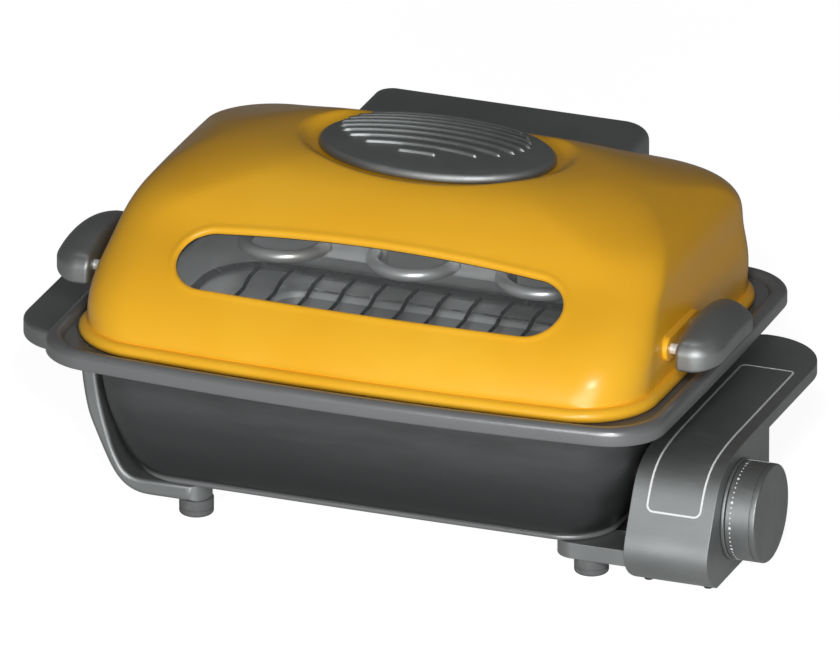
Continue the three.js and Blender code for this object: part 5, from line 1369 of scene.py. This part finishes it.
bracket_parts = [
    prism("x", knuckle_round, *bracket_span),
    block(*bracket_span, BRACKET_FRONT, HINGE_Y, *bracket_z),
    prism("y", flange_shape, BRACKET_FRONT, FLANGE_BACK),
]
arm_parts = [
    prism("x", knuckle_round, *arm_span),
    block(*arm_span, *arm_y, HINGE_Z, arm_foot),
    prism("z", foot_shape, arm_foot - ARM_FOOT_THICK, arm_foot),
]
for side, sign in SIDES:
    first, *others = (mirrored(part, sign) for part in bracket_parts)
    bracket = cut(join(solid(f"hinge_base_{side}", first), *others), rim_tool, bore)
    settle(round_edges(bracket, 0.5, 2), PRESSED, "stand", f"hinge_bracket_{side}")
    first, *others = (mirrored(part, sign) for part in arm_parts)
    arm = cut(join(solid(f"hinge_arm_bent_{side}", first), *others), bore)
    settle(round_edges(arm, 0.4, 2), PRESSED, "lid", f"hinge_arm_{side}")
    pin = solid(f"pin_{side}", turned("x", np.array(PIN_LINE) * [1, sign], hinge_centre, 48))
    settle(pin, POLISHED, "stand", f"hinge_pin_{side}")
    above, behind = (sign * (ARM_X - ARM_SCREW_IN), HINGE_Y), (sign * RIM_SCREW_X, HINGE_Z)
    arm_node, rim_node = f"hinge_arm_screw_{side}", f"hinge_bracket_screw_{side}"
    screw(f"arm_screw_{side}", "z", above, arm_foot - 4.75, ARM_SCREW_LONG, "lid", arm_node)
    screw(f"rim_screw_{side}", "y", behind, RIM_SCREW_FACE, RIM_SCREW_LONG, "stand", rim_node, -1)
print("hinge axis at", HINGE_Y, HINGE_Z)

# %% [markdown]
# The left stand is one moulding: a band that follows the pan's wall from the wing down to the floor, two
# arms under the pan, and the wing that serves as a carrying handle. Its section is the pan's own wall line
# set off by the band's thickness, drawn out along the depth. A Bevel is held back by the slivers that
# Booleans leave, so the rims of the two side frames and of the wing are eased before they are joined.

# %% Left stand
BAND, BAND_HALF, BAND_OUTER_LOW, STAND_TOP, CLEARANCE = 9.7, 90.0, 60, 96.0, 1.0
ARM_LOW, ARM_HIGH, ARM_WIDE, ARM_ROUND, SOLE, HEEL = PAN_BASE - 10.35, PAN_BASE - 0.25, 24.0, 12.0, 4.0, 40
ARM_END, BAND_EASE, WING_EASE, WING_HALF, WING_THICK, WING_CORNER = -100.0, 2.6, 2.5, 68, 12.5, 30
wing_low = span("left_stand")[0]
TOE = np.array([(27, 0), (20.8, 0.25), (10, 4.2), (2.8, 11.7), (-2.9, 22.2), (-9.4, 37)])
beside = wall_line[wall_line[:, 1] < 84.5]
band_inner = np.column_stack([-(RIM_LENGTH / 2 - beside[:, 0] + CLEARANCE), beside[:, 1]])
band_outer = (band_inner - [BAND, 0])[beside[:, 1] > BAND_OUTER_LOW]
inner_x, outer_x = band_inner[-1, 0], band_outer[-1, 0]
foot_x, foot_z = band_inner[0]
toe = smooth_line(np.concatenate([TOE + [foot_x - BAND, ARM_LOW], band_outer[:2]]), 26)[:-1]
sole_end, sole_top = foot_x + HEEL, ARM_LOW + SOLE
front_face = [toe, band_outer[1:], [(outer_x, STAND_TOP)]]
hollow = fillet([(foot_x, ARM_HIGH, 0), (foot_x + 8, sole_top, 5), (sole_end, sole_top, 0)])
section = [band_inner[::-1], hollow, [(sole_end, ARM_LOW)], *front_face, [(inner_x, STAND_TOP)]]
crook = [band_inner[3], (foot_x + 0.6, foot_z - 1.2), (foot_x + 4, ARM_HIGH + 0.8), (foot_x + 9, ARM_HIGH)]
crook = smooth_line([*crook, (foot_x + 16, ARM_HIGH)], 16)
arm_line = [[(inner_x, STAND_TOP)], band_inner[:3:-1], crook, [(ARM_END, ARM_HIGH), (ARM_END, ARM_LOW)]]
arm_section = np.concatenate([*arm_line, *front_face])


def arms(x0, x1, radii):
    """Two flat arms under the pan, front and rear."""
    spans = [(-BAND_HALF, -BAND_HALF + ARM_WIDE), (BAND_HALF - ARM_WIDE, BAND_HALF)]
    return [prism("z", rounded(x0, x1, *ys, radii), ARM_LOW, ARM_HIGH) for ys in spans]


inner_y = BAND_HALF - ARM_WIDE
stand = solid("stand_left", prism("y", np.concatenate(section), -inner_y, inner_y))
for near, far, easing in ((-BAND_HALF, -inner_y, (BAND_EASE, 0)), (inner_y, BAND_HALF, (0, BAND_EASE))):
    side_frame = solid("side_frame", eased("y", arm_section, near, far, *easing))
    plan = rounded(-300, ARM_END, near - 0.01, far + 0.01, [0, ARM_ROUND, ARM_ROUND, 0])
    combine(side_frame, solid("plan", prism("z", plan, 0, 200)), "INTERSECT")
    combine(stand, side_frame, "UNION")
wing_shape = rounded(wing_low[0], inner_x, -WING_HALF, WING_HALF, [WING_CORNER, 0, 0, WING_CORNER], 16)
join(stand, eased("z", wing_shape, STAND_TOP - WING_THICK, STAND_TOP, WING_EASE, WING_EASE))
settle(stand, PLASTIC, "stand", "left_stand", level=True)
print("stand faces", made_faces[-1])

# %% [markdown]
# Four rubber feet with a groove round them carry the stand. The base plate closes the stand from below, and
# four screws hold it.

# %% Feet and base plate
FEET = {"front_left": (-109, -79), "rear_left": (-109, 79)}
FEET |= {"front_right": (139, -79), "rear_right": (139, 79)}
foot_line = fillet(
    [
        (0, 0, 0), (10.3, 0, 1.8), (10.3, 3.4, 0.3), (9.8, 3.7, 0.2), (9.8, 4.1, 0.2), (10.3, 4.4, 0.3),
        (10.3, 10.4, 0.4), (3.6, 10.4, 0), (3.6, 16.4, 0.4), (0, 16.4, 0),
    ],
    5,
)
for name, spot in FEET.items():
    settle(solid(f"rubber_{name}", turned("z", foot_line, spot, 64)), RUBBER, "stand", f"foot_{name}")
SCREW_SUNK, PLATE_SCREW_LONG, PLATE_SCREW_Y, PLATE_SCREW_X = 2.25, 10, 38, (sole_end - 12, 142)
plate_low, plate_high = span("base_plate")
plate_line = fillet([(2, 0, 0), (0, 0, 0.5), (0, 2, 0.5), (2, 2, 0)], 4) + [0, plate_low[2]]
plate_plan = plate_low[0], plate_high[0], plate_low[1], plate_high[1], [5] * 4
settle(solid("underplate", stacked("z", plate_plan, plate_line)), PRESSED, "stand", "base_plate", level=True)
for side, x in zip(("left", "right"), PLATE_SCREW_X):
    for place, y in (("front", -PLATE_SCREW_Y), ("rear", PLATE_SCREW_Y)):
        name, face = f"{place}_{side}", ARM_LOW - SCREW_SUNK
        screw(f"sole_screw_{name}", "z", (x, y), face, PLATE_SCREW_LONG, "stand", f"base_screw_{name}")
print("feet", len(FEET))

# %% [markdown]
# The control housing leans out over its front in one smooth curve, carries the dial on its outer face and
# ends in a flat wing at the rear. The front curve is a spline through a few points of the section. The parts
# are joined first and bevelled as one moulding, and only then hollowed, so every outer edge is soft.

# %% Control housing
HOUSING_IN, HOUSING_OUT, HOUSING_TOP, HOUSING_LOW = 168.0, 220.0, 79.0, 4.0
HOUSING_FRONT, HOUSING_REAR, HOUSING_WALL, HOUSING_ROUND = 104.0, 2.0, 3, 1.9
HOUSING_WING, WING_CORNERS, WING_GAUGE, INNER_WALL = (-10, 117), [0, 0, 40, 10], 8, 4
HOUSING_ARM_X, HOUSING_SOLE_X, HOUSING_SOLE_HALF = 118, 130, 54.25
FRONT_SHARES_Y = [0.1, 0.24, 0.36, 0.58, 0.72, 0.8, 0.88, 0.956, 0.99, 1, 0.988, 0.945, 0.892, 0.845]
FRONT_SHARES_Z = [1, 1, 0.998, 0.975, 0.92, 0.84, 0.67, 0.47, 0.37, 0.28, 0.195, 0.11, 0.05, 0.012]
front_y = -HOUSING_FRONT * np.array(FRONT_SHARES_Y)
front_z = HOUSING_LOW + (HOUSING_TOP - HOUSING_LOW) * np.array(FRONT_SHARES_Z)
front_curve = smooth_line(np.column_stack([front_y, front_z]), 60)
front_curve[:, 1] = np.minimum(front_curve[:, 1], HOUSING_TOP)
front_toe = [(-86.8, HOUSING_LOW + 0.2), (-85.4, HOUSING_LOW)]
rear_edge = [(HOUSING_REAR, HOUSING_TOP)], [(HOUSING_REAR, HOUSING_LOW)]
body_section = np.concatenate([rear_edge[0], front_curve, front_toe, rear_edge[1]])
housing = solid("housing_body", prism("x", body_section, HOUSING_IN, HOUSING_OUT))
wing_plan = rounded(HOUSING_IN, HOUSING_OUT, *HOUSING_WING, WING_CORNERS, 18)
inner_face, sole_half = HOUSING_IN + INNER_WALL, HOUSING_SOLE_HALF
join(
    housing,
    prism("z", wing_plan, HOUSING_TOP - WING_GAUGE, HOUSING_TOP),
    block(HOUSING_IN, inner_face, HOUSING_WING[0], BAND_HALF, ARM_LOW, HOUSING_TOP),
    *arms(HOUSING_ARM_X, inner_face, [ARM_ROUND, 0, 0, ARM_ROUND]),
    block(HOUSING_SOLE_X, inner_face, -sole_half, sole_half, ARM_LOW, ARM_LOW + SOLE),
)
round_edges(housing, HOUSING_ROUND, 5, 40)
middle = np.array([-HOUSING_FRONT / 2, (HOUSING_TOP + HOUSING_LOW) / 2])
reach = np.array([(HOUSING_FRONT + HOUSING_REAR) / 2, (HOUSING_TOP - HOUSING_LOW) / 2])
INLET_X, INLET_Z, DIAL_CENTRE, SHAFT_HOLE = 198.0, 40.0, (-52.0, 41.0), 3.4
FLOOR_SPAN, INWARDS = np.array([172, 217, -86, -1]), np.array([1, -1, 1, -1])
FLOOR_GAP, FLOOR_CORNER, FLOOR_THICK, FLOOR_SCREW_LONG, FLOOR_SCREW_IN = 0.25, 3, 2.6, 13, 4
FLOOR_SLOTS, FLOOR_SLOT_PITCH, FLOOR_SLOT_HALF, FLOOR_SLOT_SPAN = 5, 12, 2, (183.25, 205.75)


def about_inlet(half_x, half_z, radius):
    """A rounded rectangle round the inlet's middle."""
    return rounded(INLET_X - half_x, INLET_X + half_x, INLET_Z - half_z, INLET_Z + half_z, [radius] * 4)


hollow_section = middle + (body_section - middle) * (1 - HOUSING_WALL / reach)
cut(
    housing,
    prism("x", hollow_section, inner_face, HOUSING_OUT - HOUSING_WALL),
    prism("z", rounded(*FLOOR_SPAN, [FLOOR_CORNER] * 4), HOUSING_LOW - 1, HOUSING_LOW + 6),
    rod("x", SHAFT_HOLE, HOUSING_OUT - 10, HOUSING_OUT + 5, DIAL_CENTRE, 40),
    prism("y", about_inlet(14.25, 11.25, 2.2), -18, 5),
)
settle(housing, PLASTIC, "stand", "control_housing", level=True)
floor_shape = rounded(*(FLOOR_SPAN + FLOOR_GAP * INWARDS), [FLOOR_CORNER] * 4)
bottom = solid("housing_floor", prism("z", floor_shape, HOUSING_LOW, HOUSING_LOW + FLOOR_THICK))
half, slot_corners = FLOOR_SLOT_HALF, [FLOOR_SLOT_HALF - 0.02] * 4
for y in FLOOR_SPAN[2:].mean() + (np.arange(FLOOR_SLOTS) - (FLOOR_SLOTS - 1) / 2) * FLOOR_SLOT_PITCH:
    cut(bottom, prism("z", rounded(*FLOOR_SLOT_SPAN, y - half, y + half, slot_corners, 6), 0, 10))
settle(round_edges(bottom, 0.3, 2), PLASTIC, "stand", "housing_cover", level=True)
left, right, front, rear_end = FLOOR_SPAN + FLOOR_SCREW_IN * INWARDS
for i, spot in enumerate([(x, y) for x in (left, right) for y in (front, rear_end)], 1):
    face, node = HOUSING_LOW - SCREW_SUNK, f"cover_screw_{i}"
    screw(f"floor_screw_{i}", "z", spot, face, FLOOR_SCREW_LONG, "stand", node, finish=BLACKED)
print("housing section", len(body_section), "points")

# %% [markdown]
# The label on the housing is only its printed outline here, because its inside stays bare. The outline is
# drawn flat, as the way across and the way along the housing's section, and then laid on the curve with a
# hair's thickness. The dial's scale is sixty printed dots round the knob, every fifth one larger.

# %% Printed outline on the housing
LABEL_X0, LABEL_X1, LABEL_REAR, LABEL_LOW = 178.5, 211.5, 69.0, 50.0
LABEL_LINE, LABEL_PRINT, LABEL_SUNK = 1.15, 0.14, -0.3
label_path = np.concatenate([[(LABEL_REAR, HOUSING_TOP)], front_curve])
label_way = np.r_[0, np.cumsum(np.linalg.norm(np.diff(label_path, axis=0), axis=1))]
label_end = np.interp(LABEL_LOW, label_path[::-1, 1], label_way[::-1])
corners = rounded(LABEL_X0, LABEL_X1, 0, label_end, [4] * 4, 10)
corners = np.concatenate([corners, corners[:1]])
corner_way = np.r_[0, np.cumsum(np.linalg.norm(np.diff(corners, axis=0), axis=1))]
steps = np.linspace(0, corner_way[-1], 700)[:-1]
line = np.stack([np.interp(steps, corner_way, corners[:, k]) for k in (0, 1)], -1)
forward = unit(np.roll(line, -1, 0) - np.roll(line, 1, 0))
outward = np.stack([forward[:, 1], -forward[:, 0]], -1)


def on_housing(flat, rise):
    """A point of the flat label laid on the housing: y and z from the way along the section, plus rise
    along the section's outward normal (dz, -dy)."""
    y, z = (np.interp(flat[:, 1], label_way, label_path[:, k]) for k in (0, 1))
    y2, z2 = (np.interp(flat[:, 1] + 1, label_way, label_path[:, k]) for k in (0, 1))
    normal = unit(np.stack([z2 - z, y - y2], -1))
    return np.stack([flat[:, 0], y + rise * normal[:, 0], z + rise * normal[:, 1]], -1)


half_line = outward * LABEL_LINE / 2
print_section = (1, LABEL_SUNK), (1, LABEL_PRINT), (-1, LABEL_PRINT), (-1, LABEL_SUNK)
rings = [on_housing(line + s * half_line, rise) for s, rise in print_section]
settle(solid("label_outline", skin(rings, loop=True)), PRINT, "stand")
print("label outline", round(label_end), "mm long")

# %% [markdown]
# The dial is a bezel disc, a knob with a fine groove near its front edge, and a flat disc set in its face.
# All of them are turned, so each is one profile. The printed dots stand on the knob's skirt: each is a small
# disc whose own axes are the knob's length, its tangent and its radius.

# %% Dial, knob and scale
KNOB_RADIUS, GROOVE, FACE_RADIUS = 29.5, 0.5, 21.25
bezel_x, knob_x, knob_end = span("dial_bezel")[0][0], span("knob")[0][0], span("knob")[1][0]
face_span, shaft_span = [s[0] for s in span("knob_face")], [s[0] for s in span("knob_shaft")]


def dial_piece(name, corners, steps, start, finish, body, node, sides, level=False):
    """A piece turned round the dial's axis; its corners are (radius, way along from start, rounding)."""
    piece = solid(name, turned("x", fillet(corners, steps) + [0, start], DIAL_CENTRE, sides))
    return settle(piece, finish, body, node, level=level)


bezel_corners = [(3.4, 0, 0), (30.2, 0, 0.3), (30.2, 2, 0.8), (28.6, 2, 0.3), (28.3, 1.6, 0.2)]
bezel_corners += [(3.4, 1.6, 0), (3.4, 0, 0)]
dial_piece("bezel", bezel_corners, 5, bezel_x, KNOB_PLASTIC, "stand", "dial_bezel", 120)
knob_corners = [
    (0, 12.85, 0), (3.25, 12.85, 0), (3.25, 0, 0.3), (6.5, 0, 0.4), (6.5, 12.6, 1), (26.5, 12.6, 2),
    (26.5, 0, 0.3), (KNOB_RADIUS, 0, 0.5), (KNOB_RADIUS, 14.6, 0.15), (KNOB_RADIUS - GROOVE, 14.85, 0.08),
    (KNOB_RADIUS - GROOVE, 15.3, 0.08), (KNOB_RADIUS, 15.5, 0.2), (KNOB_RADIUS, 18.6, 1.3),
    (FACE_RADIUS, 18.6, 0), (FACE_RADIUS, 16.6, 0.2), (0, 16.6, 0),
]
dial_piece("timer_knob", knob_corners, 5, knob_x, KNOB_PLASTIC, "knob", "knob", 128, level=True)
disc = FACE_RADIUS - 0.03
face_corners = [(0, face_span[0], 0), (disc, face_span[0], 0.3), (disc, knob_end, 0), (0, knob_end, 0)]
dial_piece("timer_face", face_corners, 5, 0, KNOB_PLASTIC, "knob", "knob_face", 96, level=True)
inner_end, outer_end = shaft_span
shaft_corners = [(0, inner_end, 0), (3, inner_end, 0.5), (3, outer_end, 0.3), (0, outer_end, 0)]
dial_piece("shaft", shaft_corners, 4, 0, BRASS, "knob", "knob_shaft", 40)

DOTS, DOT_X, DOT_SIDES = 60, knob_x + 3.2, 14
DOT_LEVELS = (1, -0.15), (1, 0.08), (0.8, 0.13)
# A thin white strip also runs lengthwise along the knob near its top, in the print finish.
TOP_LINE_TURN, TOP_LINE_HALF, TOP_LINE_SPAN = 72, 0.75, (0.7, 14.2)
spin = np.arange(DOTS) / DOTS * 2 * np.pi + math.radians(90)
radial = np.stack([np.zeros(DOTS), np.cos(spin), np.sin(spin)], -1)
tangent = np.stack([np.zeros(DOTS), -np.sin(spin), np.cos(spin)], -1)
dot_size = np.where(np.arange(DOTS) % 5 == 0, 0.8, 0.45)
round_dot = np.arange(DOT_SIDES) / DOT_SIDES * 2 * np.pi
middle_of_dots = np.array([DOT_X, *DIAL_CENTRE]) + radial * KNOB_RADIUS
edge = dot_size[:, None, None] * (
    np.cos(round_dot)[:, None] * np.array([1.0, 0, 0]) + np.sin(round_dot)[None, :, None] * tangent[:, None]
)
dots = []
for spot, rim_points, way in zip(middle_of_dots, edge, radial):
    levels = [spot + rim_points * share + way * rise for share, rise in DOT_LEVELS]
    dots.append(skin(levels, first=True, last=True))
turn = math.radians(TOP_LINE_TURN) + np.linspace(-1, 1, 7) * TOP_LINE_HALF / KNOB_RADIUS
low, high = KNOB_RADIUS - 0.2, KNOB_RADIUS + 0.13
radius, turn = np.repeat([low, high], len(turn)), np.r_[turn, turn[::-1]]
top_line_shape = np.stack([radius * np.cos(turn), radius * np.sin(turn)], -1) + DIAL_CENTRE
top_line = prism("x", top_line_shape, *(knob_x + np.array(TOP_LINE_SPAN)))
settle(solid("scale_dots", *dots, top_line), PRINT, "knob")
print("dots", DOTS)

# %% [markdown]
# The inlet at the back of the housing is a flanged socket with two pins. What is left are plain blocks and
# plates that sit out of sight: the shield, the terminal blocks and the timer's case keep the shapes that
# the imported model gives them, with eased edges and their own finishes.

# %% Power inlet and the pieces inside
INLET_PIN_X, PLUG_DEPTH = 5.5, 12
inlet_front, inlet_back = (corner[1] for corner in span("power_inlet"))
inlet = solid("inlet", prism("y", about_inlet(14, 11, 2), inlet_front, inlet_back - 1))
flange_line = fillet([(3, 0, 0), (0, 0, 0.2), (0, 2, 0.7), (3, 2, 0)], 4) + [0, inlet_back - 2]
join(inlet, stacked("y", (INLET_X - 17, INLET_X + 17, INLET_Z - 14, INLET_Z + 14, [4] * 4), flange_line))
cut(inlet, prism("y", about_inlet(11, 8, 3), inlet_back - PLUG_DEPTH, inlet_back + 3))
settle(inlet, PLASTIC, "stand", "power_inlet")
pin_line = fillet([(0, -10.8, 0), (2.1, -10.8, 0), (2.1, 0, 1.2), (0, 0, 0)], 5) + [0, inlet_back - 1.5]
pins = [turned("y", pin_line, (INLET_X + sign * INLET_PIN_X, INLET_Z), 28) for _, sign in SIDES]
settle(solid("inlet_pins", *pins), POLISHED, "stand")
clean_copy("heat_shield", "shield", SHEET, "stand", 0.2)
clean_copy("timer_body", "timer_case", SHEET, "stand", 0.6)
clean_copy("terminal_block", "terminals_lower", CERAMIC, "stand", 0.8)
clean_copy("upper_terminal_block", "terminals_upper", CERAMIC, "lid", 0.8)
print("pieces so far", len(made_faces))

# %% [markdown]
# Lamps and floor give a plain light. A wide lamp low in front makes the faces that look at the viewer the
# brightest, as in the picture, and a small one above it gives the highlights. The floor and the sky are white
# to the camera and through glass. In reflections they are dim, so that dark plastic stays dark on top, and
# the floor keeps the object's soft shadow.


# %% Lights, floor and world
def lamp(name, azimuth, elevation, away, size, watts):
    """A square area lamp that looks at the middle of the roaster. Azimuth 0 is the front, 90 the right."""
    light = bpy.data.lights.new(name, "AREA")
    light.energy, light.size = watts, size
    holder = bpy.data.objects.new(name, light)
    bpy.context.scene.collection.objects.link(holder)
    a, e = math.radians(azimuth), math.radians(elevation)
    way = Vector((math.sin(a) * math.cos(e), -math.cos(a) * math.cos(e), math.sin(e)))
    holder.location = Vector((0, 0, LAMP_AIM)) + way * away
    holder.rotation_mode = "QUATERNION"
    holder.rotation_quaternion = (-way).to_track_quat("-Z", "Y")
    holder.visible_camera = False
    return holder


LAMP_AIM = 0.1
lamp("key", 22, 31, 2.2, 0.36, 17)
lamp("front", 14, 2, 2.4, 1.6, 56)


def plain_stage():
    """A large pale floor, white to the camera and through glass and dim in mirrors, that takes a shadow."""
    corners = [(x * FLOOR_HALF, y * FLOOR_HALF, 0) for x, y in ((-1, -1), (1, -1), (1, 1), (-1, 1))]
    mesh = bpy.data.meshes.new("floor")
    mesh.from_pydata(corners, [], [(0, 1, 2, 3)])
    floor = bpy.data.objects.new("floor", mesh)
    bpy.context.scene.collection.objects.link(floor)
    finish = Finish("floor", roughness=0.9, base_color=(0.5, 0.5, 0.5, 1))
    finish.shader.inputs["Specular IOR Level"].default_value = 0.0
    straight, glossy, through = (finish.node("ShaderNodeLightPath", output=ray) for ray in SEEN_BY)
    seen = (straight + through) * FLOOR_GLOW + glossy * MIRRORED
    glow = finish.node("ShaderNodeEmission", {}, {"Strength": seen})
    lit = Wire(finish, finish.shader.outputs["BSDF"])
    finish.show(finish.node("ShaderNodeAddShader", {}, {0: lit, 1: glow}))
    mesh.materials.append(finish.material)


SEEN_BY = "Is Camera Ray", "Is Glossy Ray", "Is Transmission Ray"
FLOOR_HALF, FLOOR_GLOW, MIRRORED, SKY_MIRRORED, AMBIENT = 30.0, 0.92, 0.17, 0.11, 0.05
plain_stage()
world = bpy.data.worlds.new("sky")
bpy.context.scene.world = world
world.use_nodes = True
sky = Tree(world.node_tree)
background = sky.tree.nodes["Background"].inputs
background["Color"].default_value = (1, 1, 1, 1)
level = AMBIENT
for ray, brightness in zip(SEEN_BY, (1.0, SKY_MIRRORED, 1.0)):
    seen = sky.node("ShaderNodeLightPath", output=ray) * brightness
    level = seen.maths("MAXIMUM", seen, level)
sky.tree.links.new(level.socket, background["Strength"])
bpy.context.scene.view_settings.view_transform = "Standard"

# %% Sizes for the record, and the end
print("pieces made", len(made_faces), "faces", sum(made_faces))
